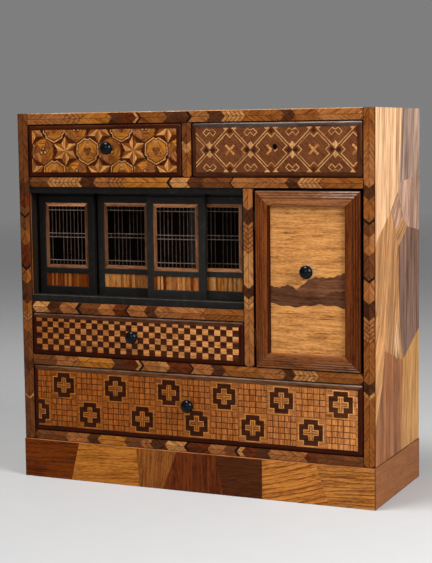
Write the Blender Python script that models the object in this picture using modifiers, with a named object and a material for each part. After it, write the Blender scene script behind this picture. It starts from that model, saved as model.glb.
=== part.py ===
"""A small marquetry cabinet with four drawers, four lattice sliding doors and a hinged door.

Metres, +Z up. The front faces -Y and +X is to the right seen from the front. The origin is on
the floor, in the middle of the overall box, knobs included.
"""

import math

import bmesh
import bpy
from mathutils import Matrix, Vector

# Case
CASE_WIDTH = 0.3640
CASE_DEPTH = 0.1365
SIDE_THICKNESS = 0.0105
TOP_THICKNESS = 0.0108
UPPER_SHELF_THICKNESS = 0.0096
MIDDLE_SHELF_THICKNESS = 0.0110
LOWER_SHELF_THICKNESS = 0.0100
BOTTOM_THICKNESS = 0.0096
UPPER_PARTITION_THICKNESS = 0.0095
LOWER_PARTITION_THICKNESS = 0.0098
BACK_THICKNESS = 0.0050
BACK_REVEAL = 0.0005
LIPPING_DEPTH = 0.0030
GLUE_LINE = 0.0002
BOARD_ROUND = 0.0004

# Openings in the front
UPPER_OPENING = 0.0508
SLIDING_OPENING = 0.1120
CHECKER_OPENING = 0.0418
BASE_OPENING = 0.0656
DOOR_OPENING_WIDTH = 0.1055

# Plinth
PLINTH_HEIGHT = 0.0380
PLINTH_THICKNESS = 0.0115
PLINTH_PROUD = 0.0010

# Drawers
DRAWER_PROUD = 0.0010
DRAWER_FRONT_THICKNESS = 0.0100
DRAWER_SIDE_GAP = 0.0007
DRAWER_TOP_GAP = 0.0007
DRAWER_RUNNING_GAP = 0.0003
DRAWER_BACK_GAP = 0.0040
TRAY_SIDE_GAP = 0.0008
TRAY_WALL = 0.0050
TRAY_DROP = 0.0045
TRAY_BOTTOM_THICKNESS = 0.0030
FRONT_BORDER = 0.0046
FRONT_ROUND = 0.0024
FIELD_SINK = 0.0004

# Turned knobs
KNOB_DIAMETER = 0.0124
KNOB_LENGTH = 0.0118
KNOB_NECK_DIAMETER = 0.0058
KNOB_NECK_LENGTH = 0.0026
PEG_DIAMETER = 0.0046
PEG_LENGTH = 0.0070
PEG_CLEARANCE = 0.0003
PEG_RISE_SHARE = 0.05
STAR_PEG_SHIFT = 0.0073
ROUND_STEPS = 20

# Tracks of the sliding doors
TRACK_SETBACK = 0.0015
HEAD_HEIGHT = 0.0056
SILL_HEIGHT = 0.0065
HEAD_GROOVE = 0.0046
SILL_GROOVE = 0.0025
TRACK_PITCH = 0.0075
TRACK_REAR_LAND = 0.0025
GROOVE_CLEARANCE = 0.0003

# Sliding doors
SLIDER_SETBACK = 0.0120
SLIDER_OVERLAP = 0.0054
SLIDER_THICKNESS = 0.0055
SLIDER_STILE = 0.0067
SLIDER_TOP_RAIL = 0.0067
SLIDER_MIDDLE_RAIL = 0.0049
SLIDER_BOTTOM_RAIL = 0.0097
SLIDER_SHOULDER_GAP = 0.0031
SLIDER_LIFT = 0.0014
SLIDER_ROUND = 0.0003
TONGUE_THICKNESS = 0.0029
WAIST_HEIGHT = 0.0131
INSET_THICKNESS = 0.0024
INSET_SINK = 0.0010
SLIDER_SHIFTS = (0.0036, 0.0094, 0.0110, -0.0032)

# Lattice of a sliding door
LATTICE_FRAME = 0.0033
SLAT_WIDTH = 0.0005
SLAT_DEPTH = 0.0008
SLAT_COUNT = 9
BAR_WIDTH = 0.0007
BAR_PLACES = (0.127, 0.474, 0.539, 0.885)
UPPER_BAND = 1
LOWER_BAND = 3
LOST_SLATS = (
    ((2, LOWER_BAND), (3, LOWER_BAND)),
    ((1, UPPER_BAND), (5, UPPER_BAND), (1, LOWER_BAND), (7, LOWER_BAND)),
    ((5, UPPER_BAND),),
    ((5, UPPER_BAND), (5, LOWER_BAND)),
)

# Hinged door
DOOR_PROUD = 0.0042
DOOR_THICKNESS = 0.0100
DOOR_HINGE_GAP = 0.0026
DOOR_FREE_GAP = 0.0022
DOOR_TOP_GAP = 0.0022
DOOR_FOOT_GAP = 0.0007
MOULDING_WIDTH = 0.0140
MOULDING_DROP = 0.0027
REED_COUNT = 3
REED_WIDTH = 0.0022
REED_STEP = 0.0005
REED_CREST = 0.0004
RIDGE_WIDTH = 0.0018
RIDGE_ROUND = 0.0010
MITRE_GAP = 0.0002
REBATE_WIDTH = 0.0032
PANEL_SINK = 0.0034
PANEL_THICKNESS = 0.0035
DOOR_PEG_LENGTH = 0.0034
DOOR_PEG_SHIFT = 0.0012
DOOR_PEG_RISE = 0.0086

# Butt hinges
HINGE_INSET = 0.0270
HINGE_AXIS_SETBACK = 0.0006
LEAF_HEIGHT = 0.0160
LEAF_DEPTH = 0.0080
LEAF_THICKNESS = 0.0005
LEAF_SEAT = 0.0002
BARREL_DIAMETER = 0.0022
BORE_DIAMETER = 0.0014
PIN_DIAMETER = 0.0010
KNUCKLE_GAP = 0.0002
HINGE_STEPS = 16

# How far a cutter reaches past what it cuts
OVERCUT = 0.0010

# Depths, front to back
FRONT_REACH = max(DRAWER_PROUD - FIELD_SINK, DOOR_PROUD - PANEL_SINK) + KNOB_LENGTH
FACE_Y = (FRONT_REACH - CASE_DEPTH) / 2
BACK_Y = FACE_Y + CASE_DEPTH
BOARD_Y = FACE_Y + LIPPING_DEPTH + GLUE_LINE
PANEL_BACK_Y = BACK_Y - BACK_REVEAL
PANEL_FRONT_Y = PANEL_BACK_Y - BACK_THICKNESS
SHELF_END_Y = PANEL_FRONT_Y - GLUE_LINE

# Heights, floor to top
CASE_FOOT = PLINTH_HEIGHT
BASE_FLOOR = CASE_FOOT + BOTTOM_THICKNESS
LOWER_SHELF_FOOT = BASE_FLOOR + BASE_OPENING
CHECKER_FLOOR = LOWER_SHELF_FOOT + LOWER_SHELF_THICKNESS
MIDDLE_SHELF_FOOT = CHECKER_FLOOR + CHECKER_OPENING
SLIDING_FLOOR = MIDDLE_SHELF_FOOT + MIDDLE_SHELF_THICKNESS
UPPER_SHELF_FOOT = SLIDING_FLOOR + SLIDING_OPENING
UPPER_FLOOR = UPPER_SHELF_FOOT + UPPER_SHELF_THICKNESS
TOP_FOOT = UPPER_FLOOR + UPPER_OPENING
CASE_TOP = TOP_FOOT + TOP_THICKNESS

# Widths, left to right
HALF_WIDTH = CASE_WIDTH / 2
INNER_RIGHT = HALF_WIDTH - SIDE_THICKNESS
INNER_LEFT = -INNER_RIGHT
DOOR_OPENING_LEFT = INNER_RIGHT - DOOR_OPENING_WIDTH
LOWER_PARTITION_LEFT = DOOR_OPENING_LEFT - LOWER_PARTITION_THICKNESS
UPPER_PARTITION_RIGHT = UPPER_PARTITION_THICKNESS / 2
UPPER_PARTITION_LEFT = -UPPER_PARTITION_RIGHT
PLINTH_OUTER = HALF_WIDTH + PLINTH_PROUD
PLINTH_INNER = PLINTH_OUTER - PLINTH_THICKNESS
BACK_HALF_WIDTH = min(INNER_RIGHT, PLINTH_INNER) - GLUE_LINE

# Sliding doors when closed: they fill their opening, each lapped over the next
SLIDER_COUNT = len(SLIDER_SHIFTS)
SLIDING_OPENING_WIDTH = LOWER_PARTITION_LEFT - INNER_LEFT
SLIDER_WIDTH = (SLIDING_OPENING_WIDTH + (SLIDER_COUNT - 1) * SLIDER_OVERLAP) / SLIDER_COUNT

# Colours: red, green, blue, roughness, metallic
FINISHES = {
    "tan_parquetry": (0.42, 0.22, 0.09, 0.38, 0.0),
    "chevron_marquetry": (0.36, 0.16, 0.05, 0.35, 0.0),
    "red_brown_wood": (0.16, 0.06, 0.03, 0.38, 0.0),
    "moulding_wood": (0.14, 0.05, 0.02, 0.35, 0.0),
    "dark_border_wood": (0.05, 0.02, 0.015, 0.32, 0.0),
    "lattice_wood": (0.20, 0.07, 0.02, 0.45, 0.0),
    "striped_wood": (0.26, 0.11, 0.04, 0.40, 0.0),
    "picture_wood": (0.52, 0.29, 0.11, 0.40, 0.0),
    "plain_wood": (0.45, 0.28, 0.14, 0.60, 0.0),
    "black_lacquer": (0.010, 0.013, 0.012, 0.30, 0.0),
    "ebony": (0.012, 0.011, 0.011, 0.16, 0.0),
    "brass": (0.55, 0.38, 0.14, 0.35, 1.0),
}


def clear_scene():
    """Remove whatever the scene holds."""
    for leftover in list(bpy.data.objects):
        bpy.data.objects.remove(leftover, do_unlink=True)


def make_collection(name):
    """A collection in the scene."""
    collection = bpy.data.collections.new(name)
    bpy.context.scene.collection.children.link(collection)
    return collection


def finish(name):
    """The material of one finish, made on first use."""
    material = bpy.data.materials.get(name)
    if material:
        return material
    red, green, blue, roughness, metallic = FINISHES[name]
    material = bpy.data.materials.new(name)
    material.use_nodes = True
    shader = material.node_tree.nodes["Principled BSDF"]
    shader.inputs["Base Color"].default_value = (red, green, blue, 1.0)
    shader.inputs["Roughness"].default_value = roughness
    shader.inputs["Metallic"].default_value = metallic
    return material


def make_empty(name, place):
    """An empty that carries a moving body, on its joint's axis."""
    empty = bpy.data.objects.new(name, None)
    empty.location = place
    CABINET.objects.link(empty)
    return empty


def add_part(name, data, place, finish_name, carrier=None, turn=None):
    """Link an object for one piece, at a world place, under its carrier."""
    part = bpy.data.objects.new(name, data)
    data.materials.append(finish(finish_name))
    if turn:
        part.rotation_euler = turn.to_euler()
    part.location = place
    if carrier:
        part.parent = carrier
        part.location = Vector(place) - carrier.location
    CABINET.objects.link(part)
    return part


def add_cutter(name, data, place, turn=None):
    """Link an object that only cuts or joins other pieces."""
    cutter = bpy.data.objects.new(name, data)
    cutter.location = place
    if turn:
        cutter.rotation_euler = turn.to_euler()
    cutter.display_type = "WIRE"
    cutter.hide_render = True
    CUTTERS.objects.link(cutter)
    return cutter


def box_mesh(name, low, high):
    """A box mesh around its own centre, and that centre."""
    low = Vector(low)
    high = Vector(high)
    shape = bmesh.new()
    bmesh.ops.create_cube(shape, size=1.0)
    bmesh.ops.scale(shape, vec=high - low, verts=shape.verts)
    mesh = bpy.data.meshes.new(name)
    shape.to_mesh(mesh)
    shape.free()
    return mesh, (low + high) / 2


def make_board(name, low, high, finish_name, carrier=None, rounding=0.0):
    """A board between two world corners, its edges eased if asked."""
    mesh, centre = box_mesh(name, low, high)
    part = add_part(name, mesh, centre, finish_name, carrier)
    if rounding:
        ease_edges(part, rounding)
    return part


def ease_edges(part, width, segments=1):
    """Round the sharp edges of a piece."""
    bevel = part.modifiers.new("eased edges", "BEVEL")
    bevel.width = width
    bevel.segments = segments
    bevel.limit_method = "ANGLE"


def cylinder_mesh(name, radius, length, steps):
    """A closed cylinder along Z around its own centre."""
    shape = bmesh.new()
    bmesh.ops.create_cone(
        shape,
        cap_ends=True,
        segments=steps,
        radius1=radius,
        radius2=radius,
        depth=length,
    )
    mesh = bpy.data.meshes.new(name)
    shape.to_mesh(mesh)
    shape.free()
    return mesh


def combine(part, tool, operation):
    """Cut a tool out of a piece, or join it on."""
    boolean = part.modifiers.new(tool.name, "BOOLEAN")
    boolean.operation = operation
    boolean.solver = "EXACT"
    boolean.object = tool


def cut_box(part, label, low, high):
    """Cut a box between two world corners out of a piece."""
    name = f"{part.name} {label}"
    mesh, centre = box_mesh(name, low, high)
    combine(part, add_cutter(name, mesh, centre), "DIFFERENCE")


def join_box(part, label, low, high):
    """Join a box between two world corners onto a piece."""
    name = f"{part.name} {label}"
    mesh, centre = box_mesh(name, low, high)
    combine(part, add_cutter(name, mesh, centre), "UNION")


def outline_curve(name, outline, length):
    """A closed flat outline, extruded to a length about its own plane."""
    curve = bpy.data.curves.new(name, "CURVE")
    curve.dimensions = "2D"
    curve.fill_mode = "BOTH"
    curve.extrude = length / 2
    spline = curve.splines.new("POLY")
    spline.points.add(len(outline) - 1)
    for point, (across, along) in zip(spline.points, outline):
        point.co = (across, along, 0.0, 1.0)
    spline.use_cyclic_u = True
    return curve


def arc(centre, radius, start, end, steps):
    """Points on a circular arc between two angles in degrees."""
    points = []
    for step in range(steps + 1):
        angle = math.radians(start + (end - start) * step / steps)
        points.append((centre[0] + radius * math.cos(angle), centre[1] + radius * math.sin(angle)))
    return points


def build_case():
    """The boards of the case and its back."""
    case_low = CASE_FOOT + GLUE_LINE
    for name, left, right in (
        ("left_side", -HALF_WIDTH, INNER_LEFT),
        ("right_side", INNER_RIGHT, HALF_WIDTH),
    ):
        make_board(
            name,
            (left, BOARD_Y, case_low),
            (right, BACK_Y, CASE_TOP),
            "tan_parquetry",
            rounding=BOARD_ROUND,
        )
    left = INNER_LEFT + GLUE_LINE
    right = INNER_RIGHT - GLUE_LINE
    partition_left = LOWER_PARTITION_LEFT - GLUE_LINE
    make_board(
        "top_board",
        (left, BOARD_Y, TOP_FOOT),
        (right, SHELF_END_Y, CASE_TOP),
        "tan_parquetry",
    )
    shelves = (
        ("upper_shelf", right, UPPER_SHELF_FOOT, UPPER_FLOOR),
        ("middle_shelf", partition_left, MIDDLE_SHELF_FOOT, SLIDING_FLOOR),
        ("lower_shelf", right, LOWER_SHELF_FOOT, CHECKER_FLOOR),
        ("bottom_board", right, case_low, BASE_FLOOR),
    )
    for name, end, foot, top in shelves:
        make_board(name, (left, BOARD_Y, foot), (end, SHELF_END_Y, top), "plain_wood")
    make_board(
        "upper_partition",
        (UPPER_PARTITION_LEFT, FACE_Y, UPPER_FLOOR + GLUE_LINE),
        (UPPER_PARTITION_RIGHT, SHELF_END_Y, TOP_FOOT - GLUE_LINE),
        "chevron_marquetry",
    )
    make_board(
        "lower_partition",
        (LOWER_PARTITION_LEFT, BOARD_Y, CHECKER_FLOOR + GLUE_LINE),
        (DOOR_OPENING_LEFT, SHELF_END_Y, UPPER_SHELF_FOOT - GLUE_LINE),
        "plain_wood",
    )
    make_board(
        "back_panel",
        (-BACK_HALF_WIDTH, PANEL_FRONT_Y, 0.0),
        (BACK_HALF_WIDTH, PANEL_BACK_Y, CASE_TOP),
        "plain_wood",
    )


def build_lippings():
    """The chevron strips on the front edges of the boards."""
    left = INNER_LEFT + GLUE_LINE
    right = INNER_RIGHT - GLUE_LINE
    partition_left = LOWER_PARTITION_LEFT - GLUE_LINE
    case_low = CASE_FOOT + GLUE_LINE
    strips = (
        ("left_lipping", -HALF_WIDTH, INNER_LEFT, case_low, CASE_TOP),
        ("right_lipping", INNER_RIGHT, HALF_WIDTH, case_low, CASE_TOP),
        ("top_lipping", left, right, TOP_FOOT, CASE_TOP),
        ("upper_shelf_lipping", left, right, UPPER_SHELF_FOOT, UPPER_FLOOR),
        ("middle_shelf_lipping", left, partition_left, MIDDLE_SHELF_FOOT, SLIDING_FLOOR),
        ("lower_shelf_lipping", left, right, LOWER_SHELF_FOOT, CHECKER_FLOOR),
        ("bottom_lipping", left, right, case_low, BASE_FLOOR),
        (
            "partition_lipping",
            LOWER_PARTITION_LEFT,
            DOOR_OPENING_LEFT,
            CHECKER_FLOOR + GLUE_LINE,
            UPPER_SHELF_FOOT - GLUE_LINE,
        ),
    )
    for name, start, end, foot, top in strips:
        make_board(
            name,
            (start, FACE_Y, foot),
            (end, FACE_Y + LIPPING_DEPTH, top),
            "chevron_marquetry",
            rounding=BOARD_ROUND,
        )


def build_plinth():
    """The three boards that the case stands on."""
    front = FACE_Y - PLINTH_PROUD
    front_back = front + PLINTH_THICKNESS
    make_board(
        "plinth_front",
        (-PLINTH_OUTER, front, 0.0),
        (PLINTH_OUTER, front_back, PLINTH_HEIGHT),
        "tan_parquetry",
        rounding=BOARD_ROUND,
    )
    for name, left, right in (
        ("plinth_left", -PLINTH_OUTER, -PLINTH_INNER),
        ("plinth_right", PLINTH_INNER, PLINTH_OUTER),
    ):
        make_board(
            name,
            (left, front_back + GLUE_LINE, 0.0),
            (right, BACK_Y, PLINTH_HEIGHT),
            "red_brown_wood",
            rounding=BOARD_ROUND,
        )


def knob_profile(peg_length):
    """Half the section of a knob, from its tip down its outer side to the end of its peg."""
    ball = KNOB_DIAMETER / 2
    neck = KNOB_NECK_DIAMETER / 2
    peg = PEG_DIAMETER / 2
    dome = (KNOB_LENGTH - KNOB_NECK_LENGTH) / 2
    dome_centre = KNOB_NECK_LENGTH + dome
    lowest = -math.degrees(math.acos(neck / ball))
    section = []
    for across, along in arc((0.0, 0.0), 1.0, 90.0, lowest, 10):
        section.append((max(across, 0.0) * ball, dome_centre + along * dome))
    section[0] = (0.0, KNOB_LENGTH)
    section.append((neck, GLUE_LINE))
    section.append((peg, GLUE_LINE))
    section.append((peg, -peg_length))
    section.append((0.0, -peg_length))
    return section


def make_knob(name, place, carrier, peg_length):
    """A turned knob whose axis points forward from a place on its seat."""
    section = knob_profile(peg_length)
    shape = bmesh.new()
    verts = [shape.verts.new((across, 0.0, along)) for across, along in section]
    for upper, lower in zip(verts, verts[1:]):
        shape.edges.new((upper, lower))
    mesh = bpy.data.meshes.new(name)
    shape.to_mesh(mesh)
    shape.free()
    knob = add_part(name, mesh, place, "ebony", carrier, FORWARD)
    screw = knob.modifiers.new("turned", "SCREW")
    screw.steps = ROUND_STEPS
    screw.render_steps = ROUND_STEPS
    screw.use_merge_vertices = True
    screw.merge_threshold = 0.00001
    screw.use_smooth_shade = True
    return knob


def cut_peg_hole(part, place, depth):
    """Bore the hole for a knob's peg back from a place on the front."""
    name = f"{part.name} peg hole"
    length = depth + OVERCUT
    mesh = cylinder_mesh(name, PEG_DIAMETER / 2 + PEG_CLEARANCE, length, ROUND_STEPS)
    middle = Vector(place) + Vector((0.0, (depth - OVERCUT) / 2, 0.0))
    combine(part, add_cutter(name, mesh, middle, FORWARD), "DIFFERENCE")


def build_drawer(name, left, right, floor, height, has_knob, peg_shift):
    """A drawer in the opening between left and right, that stands on a floor."""
    front_y = FACE_Y - DRAWER_PROUD
    front_low = (left + DRAWER_SIDE_GAP, front_y, floor + DRAWER_RUNNING_GAP)
    front_high = (
        right - DRAWER_SIDE_GAP,
        front_y + DRAWER_FRONT_THICKNESS,
        floor + height - DRAWER_TOP_GAP,
    )
    peg_rise = PEG_RISE_SHARE * (front_high[2] - front_low[2])
    seat = Vector(
        (
            (left + right) / 2 + peg_shift,
            front_y + FIELD_SINK,
            (front_low[2] + front_high[2]) / 2 + peg_rise,
        )
    )
    carrier = make_empty(f"{name}_slide", seat)
    front = make_board(f"{name}_front", front_low, front_high, "dark_border_wood", carrier)
    ease_edges(front, FRONT_ROUND, segments=3)
    cut_box(
        front,
        "field",
        (front_low[0] + FRONT_BORDER, front_y - OVERCUT, front_low[2] + FRONT_BORDER),
        (front_high[0] - FRONT_BORDER, seat.y, front_high[2] - FRONT_BORDER),
    )
    cut_peg_hole(front, seat, PEG_LENGTH + PEG_CLEARANCE)
    if has_knob:
        make_knob(f"{name}_knob", seat, carrier, PEG_LENGTH)

    tray_left = left + TRAY_SIDE_GAP
    tray_right = right - TRAY_SIDE_GAP
    tray_front = front_high[1] + GLUE_LINE
    tray_back = PANEL_FRONT_Y - DRAWER_BACK_GAP
    bottom_top = front_low[2] + TRAY_BOTTOM_THICKNESS
    make_board(
        f"{name}_bottom",
        (tray_left, tray_front, front_low[2]),
        (tray_right, tray_back, bottom_top),
        "plain_wood",
        carrier,
    )
    tray_foot = bottom_top + GLUE_LINE
    tray_top = front_high[2] - TRAY_DROP
    outline = (
        (tray_left, tray_front),
        (tray_left + TRAY_WALL, tray_front),
        (tray_left + TRAY_WALL, tray_back - TRAY_WALL),
        (tray_right - TRAY_WALL, tray_back - TRAY_WALL),
        (tray_right - TRAY_WALL, tray_front),
        (tray_right, tray_front),
        (tray_right, tray_back),
        (tray_left, tray_back),
    )
    walls = outline_curve(f"{name}_tray", outline, tray_top - tray_foot)
    add_part(f"{name}_tray", walls, (0.0, 0.0, (tray_foot + tray_top) / 2), "plain_wood", carrier)


def build_drawers():
    """The four drawers."""
    upper = (UPPER_FLOOR, UPPER_OPENING)
    checker = (CHECKER_FLOOR, CHECKER_OPENING)
    base = (BASE_FLOOR, BASE_OPENING)
    drawers = (
        ("star_drawer", INNER_LEFT, UPPER_PARTITION_LEFT, *upper, True, STAR_PEG_SHIFT),
        ("diamond_drawer", UPPER_PARTITION_RIGHT, INNER_RIGHT, *upper, False, 0.0),
        ("checker_drawer", INNER_LEFT, LOWER_PARTITION_LEFT, *checker, True, 0.0),
        ("medallion_drawer", INNER_LEFT, INNER_RIGHT, *base, True, 0.0),
    )
    for drawer in drawers:
        build_drawer(*drawer)


def track_section(height, groove):
    """The section of a track, grooves up, as depth behind its front and height over its foot."""
    depth = SLIDER_SETBACK - TRACK_SETBACK + TRACK_PITCH + SLIDER_THICKNESS + TRACK_REAR_LAND
    section = [(0.0, 0.0), (depth, 0.0), (depth, height)]
    for door_front in (SLIDER_SETBACK + TRACK_PITCH, SLIDER_SETBACK):
        front = door_front - TRACK_SETBACK - GROOVE_CLEARANCE
        back = door_front - TRACK_SETBACK + SLIDER_THICKNESS + GROOVE_CLEARANCE
        section += [
            (back, height),
            (back, height - groove),
            (front, height - groove),
            (front, height),
        ]
    section.append((0.0, height))
    return section


def build_tracks():
    """The grooved head and sill that the sliding doors run in."""
    left = INNER_LEFT + GLUE_LINE
    right = LOWER_PARTITION_LEFT - GLUE_LINE
    middle = (left + right) / 2
    front = FACE_Y + TRACK_SETBACK
    sill = outline_curve("sill_track", track_section(SILL_HEIGHT, SILL_GROOVE), right - left)
    sill_foot = SLIDING_FLOOR + GLUE_LINE
    add_part("sill_track", sill, (middle, front, sill_foot), "black_lacquer", turn=SIDEWAYS)
    flipped = [(depth, -height) for depth, height in track_section(HEAD_HEIGHT, HEAD_GROOVE)]
    head = outline_curve("head_track", flipped, right - left)
    head_top = UPPER_SHELF_FOOT - GLUE_LINE
    add_part("head_track", head, (middle, front, head_top), "black_lacquer", turn=SIDEWAYS)


def lattice_lines(start, end, places, width):
    """Edges of the frame members and bars across one direction of a lattice."""
    lines = [start, start + LATTICE_FRAME]
    for place in places:
        lines += [place - width / 2, place + width / 2]
    return lines + [end - LATTICE_FRAME, end]


def lattice_mesh(name, width, height, lost):
    """A flat grid of slats and bars about its own centre, with the lost slats left out."""
    clear_width = width - 2 * LATTICE_FRAME
    pitch = (clear_width + SLAT_WIDTH) / (SLAT_COUNT + 1)
    first = -clear_width / 2 + pitch - SLAT_WIDTH / 2
    slats = [first + number * pitch for number in range(SLAT_COUNT)]
    clear_height = height - 2 * LATTICE_FRAME
    bars = [clear_height / 2 - share * clear_height for share in reversed(BAR_PLACES)]
    across = lattice_lines(-width / 2, width / 2, slats, SLAT_WIDTH)
    upward = lattice_lines(-height / 2, height / 2, bars, BAR_WIDTH)

    columns = len(across) - 1
    rows = len(upward) - 1
    shape = bmesh.new()
    bmesh.ops.create_grid(shape, x_segments=columns, y_segments=rows, size=1.0)
    spaces = []
    for face in shape.faces:
        middle = face.calc_center_median()
        column = int((middle.x + 1.0) / 2.0 * columns)
        row = int((middle.y + 1.0) / 2.0 * rows)
        if row % 2 == 1:
            band = len(BAR_PLACES) - row // 2
            slat_lost = column % 2 == 0 and (column // 2, band) in lost
            if column % 2 == 1 or slat_lost:
                spaces.append(face)
    for vert in shape.verts:
        column = round((vert.co.x + 1.0) / 2.0 * columns)
        row = round((vert.co.y + 1.0) / 2.0 * rows)
        vert.co = (across[column], upward[row], 0.0)
    bmesh.ops.delete(shape, geom=spaces, context="FACES")
    mesh = bpy.data.meshes.new(name)
    shape.to_mesh(mesh)
    shape.free()
    return mesh


def build_slider(number, shift, lost):
    """One sliding door, slid from its closed place: a frame with a lattice and a waist panel."""
    name = f"slider_{number}"
    on_front_track = number % 2 == 1
    front = FACE_Y + SLIDER_SETBACK + (0.0 if on_front_track else TRACK_PITCH)
    back = front + SLIDER_THICKNESS
    left = INNER_LEFT + (number - 1) * (SLIDER_WIDTH - SLIDER_OVERLAP) + shift
    right = left + SLIDER_WIDTH
    head_foot = UPPER_SHELF_FOOT - GLUE_LINE - HEAD_HEIGHT
    foot = SLIDING_FLOOR + GLUE_LINE + SILL_HEIGHT - SILL_GROOVE + GROOVE_CLEARANCE
    top = head_foot + HEAD_GROOVE - SLIDER_LIFT
    shoulder = head_foot - SLIDER_SHOULDER_GAP
    waist_foot = foot + SLIDER_BOTTOM_RAIL
    waist_top = waist_foot + WAIST_HEIGHT
    lattice_foot = waist_top + SLIDER_MIDDLE_RAIL
    lattice_top = shoulder - SLIDER_TOP_RAIL
    window_left = left + SLIDER_STILE
    window_right = right - SLIDER_STILE
    tongue_front = (front + back - TONGUE_THICKNESS) / 2
    tongue_back = tongue_front + TONGUE_THICKNESS

    carrier = make_empty(f"{name}_slide", ((left + right) / 2, (front + back) / 2, foot))
    frame = make_board(f"{name}_frame", (left, front, foot), (right, back, top), "black_lacquer", carrier)
    for label, window_foot, window_top in (
        ("lattice window", lattice_foot, lattice_top),
        ("waist window", waist_foot, waist_top),
    ):
        cut_box(
            frame,
            label,
            (window_left, front - OVERCUT, window_foot),
            (window_right, back + OVERCUT, window_top),
        )
    for label, near, far in (
        ("front shoulder", front - OVERCUT, tongue_front),
        ("back shoulder", tongue_back, back + OVERCUT),
    ):
        cut_box(
            frame,
            label,
            (left - OVERCUT, near, shoulder),
            (right + OVERCUT, far, top + OVERCUT),
        )
    ease_edges(frame, SLIDER_ROUND)

    inset_front = front + INSET_SINK
    make_board(
        f"{name}_waist_panel",
        (window_left + GLUE_LINE, inset_front, waist_foot + GLUE_LINE),
        (window_right - GLUE_LINE, inset_front + INSET_THICKNESS, waist_top - GLUE_LINE),
        "striped_wood",
        carrier,
    )
    lattice_width = window_right - window_left - 2 * GLUE_LINE
    lattice_height = lattice_top - lattice_foot - 2 * GLUE_LINE
    centre = (
        (left + right) / 2,
        inset_front + SLAT_DEPTH / 2,
        (lattice_foot + lattice_top) / 2,
    )
    mesh = lattice_mesh(f"{name}_lattice", lattice_width, lattice_height, lost)
    lattice = add_part(f"{name}_lattice", mesh, centre, "lattice_wood", carrier, FORWARD)
    wall = lattice.modifiers.new("slat depth", "SOLIDIFY")
    wall.thickness = SLAT_DEPTH
    wall.offset = 0.0


def build_sliders():
    """The four sliding doors, two on each track."""
    for number, (shift, lost) in enumerate(zip(SLIDER_SHIFTS, LOST_SLATS), start=1):
        build_slider(number, shift, lost)


def moulding_section():
    """The section of the door's moulding: across from its outer edge, and back from its front.

    Reeds step up from the low outer edge, and a slope rises from them to a ridge beside the panel.
    """
    lip_back = PANEL_SINK - GLUE_LINE
    section = [(0.0, DOOR_THICKNESS)]
    for number in range(REED_COUNT):
        for share in (0.0, 0.2, 0.5, 0.8):
            depth = MOULDING_DROP - (number + share) * REED_STEP
            crest = REED_CREST * 4.0 * share * (1.0 - share)
            section.append(((number + share) * REED_WIDTH, depth - crest))
    slope_start = REED_COUNT * REED_WIDTH
    slope_depth = MOULDING_DROP - REED_COUNT * REED_STEP
    ridge_start = MOULDING_WIDTH - RIDGE_WIDTH
    for share in (0.0, 0.25, 0.5, 0.75):
        eased = share * share * (3.0 - 2.0 * share)
        across = slope_start + (ridge_start - slope_start) * share
        section.append((across, slope_depth * (1.0 - eased)))
    section.append((ridge_start, 0.0))
    section += arc((MOULDING_WIDTH - RIDGE_ROUND, RIDGE_ROUND), RIDGE_ROUND, 270.0, 360.0, 4)
    section.append((MOULDING_WIDTH, lip_back))
    section.append((MOULDING_WIDTH - REBATE_WIDTH, lip_back))
    section.append((MOULDING_WIDTH - REBATE_WIDTH, DOOR_THICKNESS))
    return section


def make_moulding(name, length, corner, turn, carrier):
    """A length of moulding, mitred at both ends, run from a corner of the door."""
    curve = outline_curve(name, moulding_section(), length)
    blank = bpy.data.objects.new(name, curve)
    CUTTERS.objects.link(blank)
    bpy.context.view_layer.update()
    mesh = bpy.data.meshes.new_from_object(blank.evaluated_get(bpy.context.evaluated_depsgraph_get()))
    bpy.data.objects.remove(blank)
    shape = bmesh.new()
    shape.from_mesh(mesh)
    bmesh.ops.remove_doubles(shape, verts=shape.verts, dist=0.000001)
    bmesh.ops.translate(shape, vec=(0.0, 0.0, length / 2), verts=shape.verts)
    for end, slope in ((MITRE_GAP / 2, -1.0), (length - MITRE_GAP / 2, 1.0)):
        cut = bmesh.ops.bisect_plane(
            shape,
            geom=shape.verts[:] + shape.edges[:] + shape.faces[:],
            plane_co=(0.0, 0.0, end),
            plane_no=(1.0, 0.0, slope),
            clear_outer=True,
        )
        rim = [item for item in cut["geom_cut"] if isinstance(item, bmesh.types.BMEdge)]
        bmesh.ops.contextual_create(shape, geom=rim)
    bmesh.ops.recalc_face_normals(shape, faces=shape.faces)
    shape.to_mesh(mesh)
    shape.free()
    mesh.name = name
    return add_part(name, mesh, corner, "moulding_wood", carrier, turn)


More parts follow.
